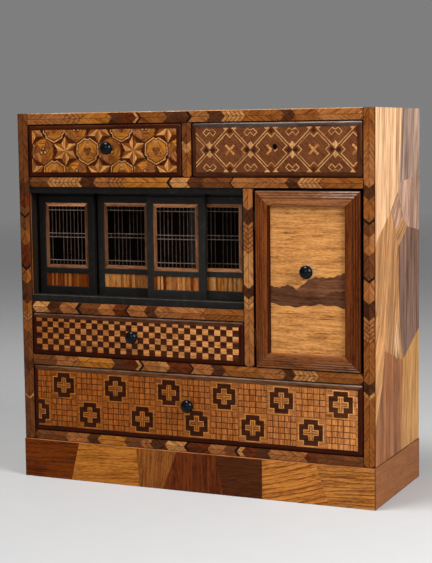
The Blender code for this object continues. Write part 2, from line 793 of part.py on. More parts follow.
def build_door():
    """The hinged door: four mouldings round a panel, with a knob, on two hinges."""
    left = DOOR_OPENING_LEFT + DOOR_HINGE_GAP
    right = INNER_RIGHT - DOOR_FREE_GAP
    foot = CHECKER_FLOOR + DOOR_FOOT_GAP
    top = UPPER_SHELF_FOOT - DOOR_TOP_GAP
    front = FACE_Y - DOOR_PROUD
    axis_x = DOOR_OPENING_LEFT + DOOR_HINGE_GAP / 2
    axis_y = FACE_Y + HINGE_AXIS_SETBACK
    carrier = make_empty("door_hinge_axis", (axis_x, axis_y, (foot + top) / 2))

    width = right - left
    height = top - foot
    mouldings = (
        ("door_left_moulding", height, (left, front, foot), (1, 0, 0), (0, 0, 1)),
        ("door_right_moulding", height, (right, front, top), (-1, 0, 0), (0, 0, -1)),
        ("door_top_moulding", width, (left, front, top), (0, 0, -1), (1, 0, 0)),
        ("door_bottom_moulding", width, (right, front, foot), (0, 0, 1), (-1, 0, 0)),
    )
    for name, length, corner, inward, along in mouldings:
        turn = Matrix((inward, (0, 1, 0), along)).transposed()
        make_moulding(name, length, corner, turn, carrier)

    margin = MOULDING_WIDTH - REBATE_WIDTH + GLUE_LINE
    panel_front = front + PANEL_SINK
    panel = make_board(
        "door_panel",
        (left + margin, panel_front, foot + margin),
        (right - margin, panel_front + PANEL_THICKNESS, top - margin),
        "picture_wood",
        carrier,
    )
    seat = ((left + right) / 2 + DOOR_PEG_SHIFT, panel_front, (foot + top) / 2 + DOOR_PEG_RISE)
    cut_peg_hole(panel, seat, PANEL_THICKNESS + OVERCUT)
    make_knob("door_knob", seat, carrier, DOOR_PEG_LENGTH)

    for label, height_of_middle in (("upper", top - HINGE_INSET), ("lower", foot + HINGE_INSET)):
        build_hinge(f"{label}_hinge", Vector((axis_x, axis_y, height_of_middle)), carrier)


def build_hinge(name, middle, carrier):
    """A butt hinge: a case leaf with two knuckles and the pin, and a door leaf with one knuckle."""
    barrel = BARREL_DIAMETER / 2
    knuckle = (LEAF_HEIGHT - 2 * KNUCKLE_GAP) / 3
    leaf_front = middle.y + barrel + KNUCKLE_GAP
    leaf_back = leaf_front + LEAF_DEPTH
    foot = middle.z - LEAF_HEIGHT / 2
    top = middle.z + LEAF_HEIGHT / 2
    case_x = DOOR_OPENING_LEFT + LEAF_SEAT
    door_x = DOOR_OPENING_LEFT + DOOR_HINGE_GAP - LEAF_SEAT

    case_leaf = make_board(
        f"{name}_case_leaf",
        (case_x, leaf_front, foot),
        (case_x + LEAF_THICKNESS, leaf_back, top),
        "brass",
    )
    for label, low, high in (("lower", foot, foot + knuckle), ("upper", top - knuckle, top)):
        join_box(
            case_leaf,
            f"{label} tab",
            (case_x, middle.y, low),
            (case_x + LEAF_THICKNESS, leaf_front + LEAF_THICKNESS, high),
        )
        barrel_mesh = cylinder_mesh(f"{name} {label} knuckle", barrel, knuckle, HINGE_STEPS)
        centre = (middle.x, middle.y, (low + high) / 2)
        combine(case_leaf, add_cutter(f"{name} {label} knuckle", barrel_mesh, centre), "UNION")
    pin_mesh = cylinder_mesh(f"{name} pin", PIN_DIAMETER / 2, LEAF_HEIGHT - 2 * KNUCKLE_GAP, HINGE_STEPS)
    combine(case_leaf, add_cutter(f"{name} pin", pin_mesh, middle), "UNION")

    door_leaf = make_board(
        f"{name}_door_leaf",
        (door_x - LEAF_THICKNESS, leaf_front, foot),
        (door_x, leaf_back, top),
        "brass",
        carrier,
    )
    half = knuckle / 2
    join_box(
        door_leaf,
        "tab",
        (door_x - LEAF_THICKNESS, middle.y, middle.z - half),
        (door_x, leaf_front + LEAF_THICKNESS, middle.z + half),
    )
    barrel_mesh = cylinder_mesh(f"{name} middle knuckle", barrel, knuckle, HINGE_STEPS)
    combine(door_leaf, add_cutter(f"{name} middle knuckle", barrel_mesh, middle), "UNION")
    bore_mesh = cylinder_mesh(f"{name} bore", BORE_DIAMETER / 2, LEAF_HEIGHT, HINGE_STEPS)
    combine(door_leaf, add_cutter(f"{name} bore", bore_mesh, middle), "DIFFERENCE")


# Turns of a local frame: its Z forward to -Y, or its X, Y and Z to depth, height and width
FORWARD = Matrix.Rotation(math.radians(90.0), 3, "X")
SIDEWAYS = Matrix(((0, 1, 0), (0, 0, 1), (1, 0, 0))).transposed()

clear_scene()
CABINET = make_collection("marquetry_cabinet")
CUTTERS = make_collection("cutters")
build_case()
build_lippings()
build_plinth()
build_drawers()
build_tracks()
build_sliders()
build_door()
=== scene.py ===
"""Looks of a small marquetry cabinet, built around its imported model.

Metres, +Z up. The front faces -Y and +X is to the right seen from the front. Patterns are drawn
flat in millimetres and become thin prisms of veneer, each with its own wood and grain.
"""

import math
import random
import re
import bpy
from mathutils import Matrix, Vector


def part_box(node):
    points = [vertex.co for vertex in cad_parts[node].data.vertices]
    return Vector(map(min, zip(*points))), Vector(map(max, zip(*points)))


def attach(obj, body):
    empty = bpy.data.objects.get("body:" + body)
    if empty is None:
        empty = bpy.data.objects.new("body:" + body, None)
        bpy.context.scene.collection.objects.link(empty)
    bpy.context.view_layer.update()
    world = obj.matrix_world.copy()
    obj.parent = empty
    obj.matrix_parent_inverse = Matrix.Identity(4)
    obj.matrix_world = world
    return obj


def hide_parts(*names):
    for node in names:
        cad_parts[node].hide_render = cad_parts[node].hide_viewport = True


bl_info = {
    "name": "Marquetry cabinet",
    "version": (1, 0, 0),
    "blender": (4, 5, 0),
    "location": "View3D > Sidebar > Cabinet",
    "description": "Veneers, inlays and finishes of a small marquetry cabinet",
    "category": "Object",
}

import bmesh
import bpy
from mathutils import Vector

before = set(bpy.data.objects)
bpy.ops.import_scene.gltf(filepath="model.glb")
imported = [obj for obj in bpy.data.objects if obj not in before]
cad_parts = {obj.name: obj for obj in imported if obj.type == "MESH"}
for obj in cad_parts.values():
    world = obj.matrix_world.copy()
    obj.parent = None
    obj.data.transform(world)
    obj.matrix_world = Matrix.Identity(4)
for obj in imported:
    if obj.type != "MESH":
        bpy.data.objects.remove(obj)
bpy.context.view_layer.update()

MM = 0.001
WELD = 0.000001
SEED = 11
INDEX_SHIFT = 0.5

# Names that meshes, node trees and materials share
WOOD = "wood"
GRAIN = "grain"
COPY = "copy"
BAKE_MAP = "OFBake"

# Sockets of a Mix node that mixes colours: its factor and two colours, and its result
MIX_SOCKETS = (0, 6, 7)
MIX_RESULT = 2

# Turns in degrees
FULL = 360.0
QUARTER = 90.0
SIXTH = 60.0
EIGHTH = 45.0

# Axes, and planes that a pattern is laid on: across, up and out
X, Y, Z = range(3)
FRONT = (Vector((1, 0, 0)), Vector((0, 0, 1)), Vector((0, -1, 0)))
RIGHT = (Vector((0, 1, 0)), Vector((0, 0, 1)), Vector((1, 0, 0)))
LEFT = (Vector((0, -1, 0)), Vector((0, 0, 1)), Vector((-1, 0, 0)))
UPWARD = (Vector((1, 0, 0)), Vector((0, 1, 0)), Vector((0, 0, 1)))
ARRIS = (Vector((1, 0, 0)), Vector((0, 0.6, 0.8)), Vector((0, -0.8, 0.6)))

# Groups of like pieces
DRAWERS = ("star_drawer", "diamond_drawer", "checker_drawer", "medallion_drawer")
KNOBBED = ("star_drawer", "checker_drawer", "medallion_drawer", "door")
SLIDERS = ("slider_1", "slider_2", "slider_3", "slider_4")

# Growth rings of a wood: how dark, how many times finer, and how much the grain is drawn out
RINGS = {
    "sand": (1.25, 1.0, 1.0),
    "wheat": (1.35, 1.3, 1.0),
    "rosewood": (0.80, 3.0, 1.0),
    "nutmeg": (0.60, 4.2, 1.0),
    "gold": (0.28, 1.2, 1.0),
    "russet": (0.40, 1.2, 1.0),
    "chestnut": (0.40, 1.0, 1.0),
    "walnut": (0.40, 1.2, 1.0),
    "umber": (0.20, 1.2, 1.0),
    "cream": (0.05, 1.0, 0.25),
    "honey": (0.50, 0.8, 0.30),
    "heather": (0.60, 0.8, 0.30),
    "ash": (0.40, 0.8, 0.30),
    "kite": (0.90, 1.0, 0.6),
    "mauve": (0.60, 0.8, 0.30),
    "rose": (0.40, 0.9, 0.30),
    "maple": (0.25, 1.0, 0.30),
    "apricot": (0.25, 0.8, 0.30),
}
PLAIN_RINGS = (0.28, 1.6, 1.0)
PLINTH_RINGS = (0.12, 2.0, 1.0)
PANEL_RINGS = (0.12, 1.9, 1.0)

# Noise of the grain: rates along and across it, its layer and its detail
BROAD = (0.012, 0.075, 0.0, 2.0)
STREAKS = (0.022, 0.40, 5.3, 4.0)
FIBRES = (0.13, 0.95, 9.1, 3.0)
FLECKS = (0.30, 2.60, 3.7, 1.0)
MOTTLE = (0.045, 0.11, 2.3, 5.0)
NOISE_MIDDLE = 0.5

# Rings: years for each millimetre, how much they waver and fray, and how sharply they end
RING_RATE = 0.22
RING_WAVER = 2.6
RING_FRAY = 0.16
RING_SHARPNESS = 6.0

# Pores: where flecks begin to show and how fast, and how dark and how deep they are
PORE_START = 0.58
PORE_SLOPE = 6.0
PORE_TONE = 0.42
PORE_DEPTH = 0.7

# Tone of wood: its middle, shares of streaks and fibres, and tints of its dark and light grain
MIDDLE_TONE = 0.68
STREAK_TONE = 2.2
FIBRE_TONE = 2.0
DARK_GRAIN = (0.40, 0.30, 0.22)
LIGHT_GRAIN = (1.26, 1.28, 1.32)

# Gloss and relief of wood: roughness of streaks and pores, and the bump's strength and depth
STREAK_ROUGHNESS = 0.16
PORE_ROUGHNESS = 0.14
WOOD_SPECULAR = 0.06
WOOD_BUMP = (0.25, 0.00012)

# Mottling of worn veneer: how deep, and how much deeper where the rings are dark
MOTTLE_DEPTH = 0.5
MOTTLE_GAIN = 3.0

# Steps between layers of the grain, its drift into a board, and how much finer some boards are
LAYER_STEP = 30.0
COPY_STEP = 57.0
DRIFT_ACROSS = 0.6
DRIFT_LAYER = 0.05
FACED_FINENESS = 1.5
MOULDING_FINENESS = 1.6

# Noise over lacquer, knobs and brass: rates along the axes and detail, and the depth of a bump
DUST = ((0.16, 0.16, 0.16), 4.0)
BRUSHED = ((0.9, 0.9, 0.06), 2.0)
HAZE = ((0.7, 0.7, 0.7), 3.0)
TURNING = ((0.06, 2.6, 0.06), 1.0)
TARNISH = ((0.5, 0.5, 0.5), 4.0)
FINE_BUMP = 0.0001

# How light the lacquer of each black piece is, and the piece with a painted highlight on its edge
LACQUER_SHADES = {
    "head_track": 1.2,
    "sill_track": 1.25,
    "slider_1_frame": 0.8,
    "slider_2_frame": 1.7,
    "slider_3_frame": 2.0,
    "slider_4_frame": 3.0,
}
HIGHLIGHTED_PIECE = "sill_track"

# Lacquer: where dust shows, how fast and how light, the share of brush marks, and a painted edge highlight
DUST_START = 0.54
DUST_SLOPE = 4.0
DUST_LIGHT = 2.2
BRUSHED_SHARE = 0.6
EDGE_HIGHLIGHT_GAIN = 9.0
EDGE_HIGHLIGHT_WIDTH = 0.8
EDGE_HIGHLIGHT_RANGE = (-0.1, 1.5)

# How light tarnished brass is
DULL_BRASS = 0.4

# Cross bars of a lattice: shares of its clear height from the top, in the solid and as seen
SOLID_BARS = (0.127, 0.474, 0.539, 0.885)
BAR_PLACES = (0.066, 0.463, 0.528, 0.922)

# A lattice in millimetres: the width of its frame, and a little over half a bar's height
LATTICE_FRAME = 3.3
BAR_REACH = 0.45

# Painted light and shade: how light the stiles, the top rail and the bottom rail of each lattice are
LATTICE_SHADES = {
    "slider_1": (0.70, 2.8, 1.0),
    "slider_2": (0.80, 2.2, 1.7),
    "slider_3": (1.1, 2.1, 1.2),
    "slider_4": (2.0, 1.3, 2.4),
}

# Door mouldings: side, grain axis, way to the panel, tint as painted light and shade, painted shade line
# at the inner edge, painted highlight
MOULDINGS = (
    ("left", Z, 1, (1.05, 1.0, 1.1), 1.4, 0.0),
    ("right", Z, -1, (0.56, 0.46, 0.40), 0.0, 0.0),
    ("top", X, -1, (1.15, 1.50, 2.5), 0.0, 1.3),
    ("bottom", X, 1, (1.2, 1.45, 2.2), 0.0, 0.6),
)

# Reeds of a moulding: width, count and the cove after them, and painted light across each: its curve,
# crest and groove light, and highlight crown
REED_WIDTH = 2.2
REED_COUNT = 3
COVE_PHASE = 0.5
CREST_LIGHT_CURVE = 0.6
CREST_LIGHT = 1.05
GROOVE_LIGHT = 0.18
CROWN_SHARPNESS = 3.0

# Painted highlights: rates of the noise along and across, its detail, the rise to the right, and the start
BORDER_HIGHLIGHT_NOISE = (0.06, 0.0, 3.0, 0.5, 0.3)
MOULDING_HIGHLIGHT_NOISE = (0.25, 0.9, 2.0, 1.0, 1.0)

# Tints of a drawer front's border and of its upper side as painted reflection, and its upper edge's
# painted highlight and width
BORDER_TINTS = {
    "star_drawer": ((1.05, 0.95, 0.85), (1.25, 1.30, 1.25), 0.0),
    "diamond_drawer": ((1.65, 2.5, 4.0), (1.8, 6.0, 21.0), 0.62),
    "checker_drawer": ((0.92, 0.66, 0.50), (1.9, 3.3, 5.5), 0.2),
    "medallion_drawer": ((1.0, 0.80, 0.60), (2.9, 6.0, 10.5), 0.28),
}
HIGHLIGHT_WIDTH = 1.4

# Painted light on a drawer front: tints at its shaded left and lit right ends, and how late it lightens
CHECKER_LIGHTING = ((0.66, 0.50, 0.36), (1.15, 1.15, 1.20), 1)
MEDALLION_LIGHTING = ((0.69, 0.54, 0.27), (1.31, 1.42, 1.52), 3)

# Tiles: bevel, rise of a level and slope in millimetres, and spread of the tone and of the grain
CHAMFER = 0.05
LEVEL_STEP = 0.035
TILT = 0.012
TONE_SPREAD = 0.09
GRAIN_SPREAD = 400.0

# Millimetres round a pattern: clearance, overrun, width of dark seams and painted shadow lines, patch
# line, and a field's border and depth
EDGE_MARGIN = 0.02
BOARD_OVERRUN = 10.0
SEAM_AND_SHADOW_LINE = 0.6
PATCH_LINE = 0.7
BORDER = 4.6
BORDER_SINK = 0.4

# Star field: the first star from the field's left in millimetres, and columns and rows
STAR_START = 37.1
STAR_COLUMNS = 5
STAR_ROWS = 3

# Polygons: their middle, their corners, and the turn and reach beside a dent
CENTRE = (0.0, 0.0)
HEXAGON = 6
OCTAGON = 8
DENT_TURN = 13.0
DENT_REACH = 0.95

# Outlined hexagon: wood, reach, dent and shade of its outlines, its field, and its trefoil
OUTLINED_EDGES = (("straw", 0.945, 0.17, 1.15), ("plum", 0.850, 0.18, 0.8))
OUTLINED_FIELD = (0.785, 0.18)
TREFOIL_TURNS = (30.0, 150.0, 270.0)
TREFOIL_OFFSET = 2.1
TREFOIL_RADIUS = 2.5

# Rounded hexagon: reach of its corners and field, and its ringlets as wood, radius, level and shade
CORNER_REACH = 0.945
ROUNDED_REACH = 0.80
RINGLET_TURNS = (90.0, 210.0, 330.0)
RINGLET_OFFSET = 2.4
RINGLETS = (("plum", 2.25, 3, 1.0), ("straw", 1.35, 4, 1.1))

# Woods and shades of the sixths of an outlined hexagon and of a rounded one
OUTLINED_WOODS = (
    ("straw", 0.80), ("gold", 1.0), ("tan", 1.0), ("gold", 0.85), ("amber", 1.2), ("gold", 1.1),
)
ROUNDED_WOODS = (
    ("gold", 1.1), ("amber", 0.85), ("tan", 1.05), ("amber", 0.95), ("gold", 0.85), ("brown", 1.3),
)
ROUNDED_CORNERS = ("amber", "brown", "tan", "brown", "amber", "russet")

# Diamond field: the first crossing, their count, lines' widths and inset, a notch and a bent loop
DIAMOND_START = 13.7
CROSSINGS = 4
CROSSING_LINE = 0.85
BENT_LINE = 0.70
DIAMOND_LINE = 0.80
LINE_INSET = 1.15
NOTCH = 3.7
BENT_LOOP = (
    (0.0, 17.7), (2.9, 19.3), (6.4, 16.0), (3.6, 12.7), (0.0, 16.1),
    (-3.6, 12.7), (-6.4, 16.0), (-2.9, 19.3), (0.0, 17.7),
)

# Small diamonds of the field: place, half width and half height; an edge triangle; a cross's arm
LIGHT_DIAMOND = (4.3, 3.1, 3.7)
DARK_DIAMOND = (3.4, 2.7, 2.7)
EDGE_DIAMOND = (3.0, 2.8, 2.8)
EDGE_TRIANGLE = ((1.7, 0.0), (7.0, 0.0), (4.4, 2.8))
SALTIRE_ARM = (6.1, 1.05)
WHOLE_SALTIRE = (0, 1, 2, 3)
WORN_SALTIRE = (1, 2)

# Open peg hole: its radius, its rise as a share of the front's height, and the pale patch below it
PEG_HOLE_RADIUS = 2.6
PEG_RISE_SHARE = 0.05
PEG_HOLE_SIDES = 20
PEG_PALE_PATCH = ((-0.9, -2.75), (1.3, -2.5), (2.6, -1.3), (2.9, -2.0), (0.6, -5.0))

# Checker and medallion fields: columns and rows, gaps in millimetres, and the first medallion
CHECKER_COLUMNS = 18
CHECKER_ROWS = 3
CHECKER_GAP = 0.1
GRID_COUNT = 5
GRID_GAP = 0.34
MEDALLION_START = 0.6
MEDALLION_COLUMNS = 7
MEDALLION_ROWS = 2

# Layers of a medallion and its cross: wood, shade, half width, half height and step at a corner
MEDALLION_LAYERS = (
    ("straw", 1.2, 12.5, 13.0, 4.6),
    ("brown", 1.0, 11.6, 12.2, 4.6),
    ("plum", 0.9, 11.3, 11.9, 4.6),
    ("straw", 1.2, 7.4, 7.4, 4.8),
    ("amber", 0.9, 6.6, 6.6, 4.9),
    ("straw", 1.0, 6.4, 6.4, 5.8),
)

# Letters of the feather strips, and the light and dark woods of a fine stretch
LETTERS = {
    "p": "straw",
    "t": "tan",
    "g": "gold",
    "a": "amber",
    "b": "brown",
    "r": "russet",
    "d": "walnut",
    "k": "jet",
}
FINE_PAIRS = {"f": ("tan", "plum"), "l": ("straw", "russet")}
FINE_PITCH = 4.6
FINE_LINE = 0.78

# A feather: reach of its point for each millimetre out, grain in degrees, painted shade of its second half
FEATHER_SLOPE = 0.85
FEATHER_GRAIN = 32.0
FEATHER_SHADE = 0.82

# Feather strips of the rails from the left: node, way of the points, and pieces with their lengths
RAILS = (
    ("top_lipping", 1, "t43.3 f16 g33.5 d12.5 r14 p3 k2.5 a26.5 d23 k3 t18 d15 l21 a37 d11 a23 t41"),
    ("upper_shelf_lipping", -1, "b20.3 l36 d15 t12 f18 g48 k3 p18 d15 b28 k1.5 t53.5 d12 l21 a42"),
    ("middle_shelf_lipping", -1, "p16.3 d14 t18 k4 b21 t16 r13 k2.5 t18.5 d11 t45 f6 a43"),
    (
        "lower_shelf_lipping",
        1,
        "b28.3 t15 f10 g38 d14 r12 l4 k2 t18 p9 r23.5 k2 t20.5 d12 a35 t25 d10 l23 a42",
    ),
    (
        "bottom_lipping",
        -1,
        "b34.3 t24 d12 g29 b18 f11 d15 p20 k3 r22 t16 b11 k3 p5 r13 d13 t36 r11 b47",
    ),
)

# Feather strips of the stiles from the top, in the same columns; the left stile's darker woods are painted
# shade
STILES = (
    (
        "left_lipping",
        1,
        "b29.2 b39 d12 r12 b7 k2.5 b12.5 a14 r22 k3 a13 d20 a10 f8 a10 b30 d10 b25 l3 b40",
    ),
    (
        "right_lipping",
        1,
        "a31.2 t39 d11 a19.5 k2.5 b11 t16 b22 k2.5 t18.5 d15 f21 a36.5 d10 p3.5 a63",
    ),
    ("partition_lipping", 1, "t19.8 d14 f26 p32 d10 l11 t53"),
    ("upper_partition", 1, "b20 p8 a24"),
)

# Parquetry of a side: wood, grain in degrees, and corners towards the back and up, in millimetres
SIDE_PIECES = (
    ("cream", 88, ((-70, 366), (18, 366), (9, 285), (5, 282), (-15, 267), (-56, 242), (-70, 226))),
    ("heather", 84, ((18, 366), (82, 366), (82, 297), (11, 291))),
    ("ash", 82, ((11, 291), (82, 297), (82, 242), (34, 249), (21, 259), (5, 282))),
    ("kite", 35, ((5, 282), (21, 259), (-2, 247), (-15, 267))),
    ("honey", 30, ((21, 259), (34, 249), (7, 232), (-2, 247))),
    (
        "honey",
        80,
        (
            (-15, 267), (-2, 247), (7, 232), (9, 184), (16, 142),
            (21, 124), (-34, 140), (-70, 198), (-70, 226), (-56, 242),
        ),
    ),
    ("mauve", 90, ((34, 249), (82, 242), (82, 151), (21, 124), (16, 142), (9, 184), (7, 232))),
    ("apricot", 60, ((-70, 198), (-34, 140), (-42, 110), (-70, 54))),
    ("rose", 90, ((-34, 140), (21, 124), (16, 30), (-70, 30), (-70, 54), (-42, 110))),
    ("maple", 85, ((21, 124), (82, 151), (82, 30), (16, 30))),
)

# Outlined patches that lie over the parquetry of a side, in the same columns
SIDE_PATCHES = (
    ("kite", 55, ((5, 282), (21, 259), (-2, 247), (-15, 267))),
    (
        "cream",
        75,
        ((-6, 147), (3, 167), (9, 152), (12, 139), (9, 128), (4, 136), (0, 126), (-4, 134)),
    ),
)

# Boards of pieces with slanted joints: wood, grain, and the joint after it at its near and far edge
PLINTH_PIECES = (
    ("chestnut", 2, -130.0, -121.0),
    ("gold", 3, -55.0, -58.0),
    ("amber", 84, -30.0, -15.0),
    ("russet", 90, 33.0, 25.5),
    ("rosewood", 1, 73.0, 73.0),
    ("sand", 16, 138.5, 126.0),
    ("wheat", 3, 200.0, 200.0),
)
TOP_PIECES = (
    ("honey", 4, -112.0, -128.0),
    ("mauve", 88, -70.0, -52.0),
    ("cream", 3, 18.0, 2.0),
    ("copper", 80, 52.0, 70.0),
    ("rose", 5, 122.0, 108.0),
    ("maple", 2, 200.0, 200.0),
)

# Woods of the stripes on each waist panel, and their least and greatest width in millimetres
WAIST_WOODS = {
    "slider_1": ("chestnut", "amber", "chestnut", "russet"),
    "slider_2": ("straw", "tan", "sand", "amber", "straw"),
    "slider_3": ("straw", "tan", "amber", "chestnut", "tan"),
    "slider_4": ("pale", "sand", "sand", "sand"),
}
STRIPE_WIDTHS = (1.4, 3.6)

# Lines of the door's picture: height over its foot, and waves with a size, a rate and a start
FAR_HILLS = (69.0, ((8.0, 0.055, 4.2), (2.4, 0.170, 1.0), (0.5, 0.9, 0.0)))
NEAR_HILLS = (61.0, ((4.0, 0.090, 0.5), (1.5, 0.310, 2.0), (0.4, 1.2, 0.0)))
SHORE = (47.5, ((1.3, 0.110, 2.2), (0.6, 0.420, 0.4)))
WAVE_STEPS = 64

# Clouds and ripples of the picture: wood, start from the left, height, length and half width
PICTURE_STREAKS = (
    ("walnut", 10.0, 113.0, 12.0, 0.50),
    ("walnut", 18.0, 109.5, 9.0, 0.40),
    ("amber", 5.0, 40.0, 30.0, 0.40),
    ("amber", 37.0, 36.0, 30.0, 0.45),
    ("amber", 15.0, 29.0, 24.0, 0.35),
    ("amber", 42.0, 23.0, 20.0, 0.30),
)

# Door panel in millimetres: what the mouldings cover, and the pale ring round its knob
PANEL_COVER = 3.0
PEG_RING = 6.9
PEG_RING_SIDES = 36

# Turned knob: length and neck in millimetres, rows and degrees of its ball, and its foot's section
KNOB_LENGTH = 11.8
KNOB_NECK = 2.6
KNOB_ROWS = 16
KNOB_ROW_TURN = 9.4
KNOB_FOOT = ((2.95, 2.9), (2.75, 2.3), (2.8, 1.4), (3.1, 0.8), (3.2, 0.4), (3.1, 0.0))
KNOB_SIDES = 48

# Lamps: name, place and size
LAMPS = (
    ("key", (1.05, -0.45, 0.75), 0.60),
    ("top", (-0.30, -0.45, 1.75), 0.60),
    ("fill", (0.20, -2.20, 1.00), 1.30),
)
LAMP_TARGET = Vector((0.05, 0.0, 0.19))

# Camera and floor: sensor in millimetres, floor's radius and sides, mottling, and where it fades
SENSOR_WIDTH = 36.0
FLOOR_RADIUS = 6.0
FLOOR_SIDES = 96
FLOOR_MOTTLE = (40.0, 3.0)
FLOOR_LIGHT = (0.975, 1.025)
FADE_START = 1.0
FADE_LENGTH = 3.5


def colour_property(label, about, value):
    """A colour that a user may change."""
    return bpy.props.FloatVectorProperty(
        name=label,
        description=about,
        default=value,
        size=3,
        min=0.0,
        max=1.0,
        subtype="COLOR",
    )


def number_property(label, about, value, unit, precision=2):
    """A length in metres or a power in watts that a user may change."""
    return bpy.props.FloatProperty(
        name=label,
        description=about,
        default=value,
        min=0.0,
        precision=precision,
        unit=unit,
    )


def length_property(label, about, value):
    """A length that a user may change."""
    return number_property(label, about, value, "LENGTH", precision=5)


class CabinetWoods(bpy.types.PropertyGroup):
    """Colours of the woods and finishes"""

    pale: colour_property("Pale", "Palest inlays and worn edges", (0.47, 0.235, 0.088))
    straw: colour_property("Straw", "Light inlays and pieces of the front", (0.4, 0.174, 0.05))
    sand: colour_property("Sand", "Light slanted piece of the plinth", (0.4, 0.142, 0.024))
    wheat: colour_property("Wheat", "Light end piece of the plinth", (0.36, 0.135, 0.026))
    tan: colour_property("Tan", "Main light wood of the front", (0.285, 0.1, 0.026))
    gold: colour_property("Gold", "Yellow wood of the front", (0.345, 0.119, 0.015))
    amber: colour_property("Amber", "Light brown wood of the front", (0.22, 0.069, 0.012))
    nutmeg: colour_property("Nutmeg", "Ground of the diamond field", (0.124, 0.04, 0.0128))
    brown: colour_property("Brown", "Mid brown wood of the front", (0.128, 0.04, 0.01))
    chestnut: colour_property("Chestnut", "First piece of the plinth", (0.108, 0.021, 0.001))
    russet: colour_property("Russet", "Red brown wood of the front", (0.095, 0.019, 0.003))
    umber: colour_property("Umber", "Hills of the door's picture", (0.118, 0.045, 0.02))
    walnut: colour_property("Walnut", "Dark brown wood of the front", (0.066, 0.02, 0.006))
    rosewood: colour_property("Rosewood", "Dark striped piece of the plinth", (0.062, 0.015, 0.003))
    plum: colour_property("Plum", "Darkest brown wood of the front", (0.044, 0.0115, 0.004))
    jet: colour_property("Jet", "Thin black pieces", (0.012, 0.006, 0.004))
    cream: colour_property("Cream", "Palest wood of the sides", (0.585, 0.35, 0.185))
    honey: colour_property("Honey", "Golden wood of the sides", (0.393, 0.194, 0.074))
    maple: colour_property("Maple", "Olive tan wood of the sides", (0.43, 0.212, 0.062))
    apricot: colour_property("Apricot", "Orange wood of the sides", (0.428, 0.208, 0.0735))
    copper: colour_property("Copper", "Red tan wood of the top", (0.25, 0.126, 0.072))
    rose: colour_property("Rose", "Pink brown wood of the sides", (0.245, 0.089, 0.028))
    heather: colour_property("Heather", "Grey brown wood of the sides", (0.318, 0.213, 0.162))
    ash: colour_property("Ash", "Lighter grey brown wood of the sides", (0.40, 0.248, 0.175))
    kite: colour_property("Kite", "Small set-in piece of the sides", (0.30, 0.170, 0.105))
    mauve: colour_property("Mauve", "Dark brown wood of the sides", (0.160, 0.090, 0.062))
    panel: colour_property("Panel", "Pale wood of the hinged door", (0.49, 0.215, 0.060))
    moulding: colour_property("Moulding", "Wood of the door's mouldings", (0.13, 0.036, 0.007))
    # Painted highlight: a light colour laid on upper edges and reed crests where the lamps would glint
    painted_highlight: colour_property("Sheen", "Shiny worn edges of the dark woods", (0.42, 0.34, 0.29))
    border: colour_property("Border", "Borders of the drawer fronts", (0.031, 0.006, 0.0013))
    plinth: colour_property("Plinth", "Side boards of the plinth", (0.22, 0.078, 0.023))
    slat: colour_property("Slat", "Upright slats of the sliding doors", (0.05, 0.032, 0.025))
    bar: colour_property("Bar", "Cross bars of the sliding doors", (0.14, 0.1, 0.08))
    lattice: colour_property("Lattice", "Lattice frames of the sliding doors", (0.172, 0.073, 0.032))
    bare: colour_property("Bare", "Bare wood of drawers and back", (0.33, 0.200, 0.100))
    # Painted shade: the near-black colour of the case's inside, where shade falls
    stain: colour_property("Stain", "Stained inside of the case", (0.016, 0.010, 0.007))
    lacquer: colour_property("Lacquer", "Black lacquer of the sliding doors", (0.0068, 0.0062, 0.0052))
    knob: colour_property("Knob", "Turned knobs", (0.002, 0.0026, 0.0036))
    brass: colour_property("Brass", "Hinges", (0.075, 0.044, 0.018))


class CabinetSizes(bpy.types.PropertyGroup):
    """Sizes of the patterns"""

    veneer: length_property("Veneer", "Thickness of the veneer on the case", 0.00030)
    field_veneer: length_property("Field veneer", "Thickness of the veneer in a drawer front", 0.00026)
    picture_veneer: length_property("Picture veneer", "Thickness of the veneer on the door", 0.00010)
    centre_line: length_property("Centre line", "Dark line along a feather strip", 0.00042)
    edge: length_property("Edge", "Bare edge beside a feather strip", 0.00030)
    # The arris is a worn edge whose light colour is also a painted highlight
    arris: length_property("Arris", "Width of the worn edges of the top and the plinth", 0.00070)
    star_pitch: length_property("Star pitch", "Distance between neighbours of the star field", 0.0245)
    diamond_period: length_property("Diamond period", "Width of one diamond", 0.0407)
    square_width: length_property("Square width", "Width of a checker square", 0.00620)
    square_height: length_property("Square height", "Height of a checker square", 0.00569)
    medallion_pitch: length_property("Medallion pitch", "Width of a medallion's cell", 0.0287)


class CabinetStage(bpy.types.PropertyGroup):
    """Camera, floor and lamps"""

    camera_place: bpy.props.FloatVectorProperty(
        name="Camera place",
        description="Where the camera stands",
        default=(0.57006, -1.25495, 0.33948),
        subtype="XYZ",
        unit="LENGTH",
    )
    camera_turn: bpy.props.FloatVectorProperty(
        name="Camera turn",
        description="How the camera is turned",
        default=(math.radians(83.988), math.radians(0.721), math.radians(24.354)),
        subtype="EULER",
    )
    lens: bpy.props.FloatProperty(
        name="Lens",
        description="Focal length of the camera in millimetres",
        default=90.938,
        min=1.0,
    )
    floor: colour_property("Floor", "Pale floor", (0.46, 0.46, 0.46))
    backdrop: colour_property("Backdrop", "Even light round the scene", (0.21, 0.21, 0.213))
    key_power: number_property("Key power", "Lamp on the right", 19.0, "POWER")
    top_power: number_property("Top power", "Lamp overhead", 26.0, "POWER")
    fill_power: number_property("Fill power", "Lamp in front", 9.0, "POWER")


def woods():
    """The wood colours in use."""
    return bpy.context.scene.cabinet_woods


def sizes():
    """The pattern sizes in use."""
    return bpy.context.scene.cabinet_sizes


def in_mm(length):
    """A length in millimetres."""
    return length / MM


def box_mm(node):
    """A node's lowest and highest corners in millimetres."""
    return [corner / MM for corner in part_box(node)]


def toned(colour, tint):
    """A colour times a tint."""
    return [part * by for part, by in zip(colour, tint)]


def lightened(colour, by):
    """A colour times a number."""
    return [part * by for part in colour]


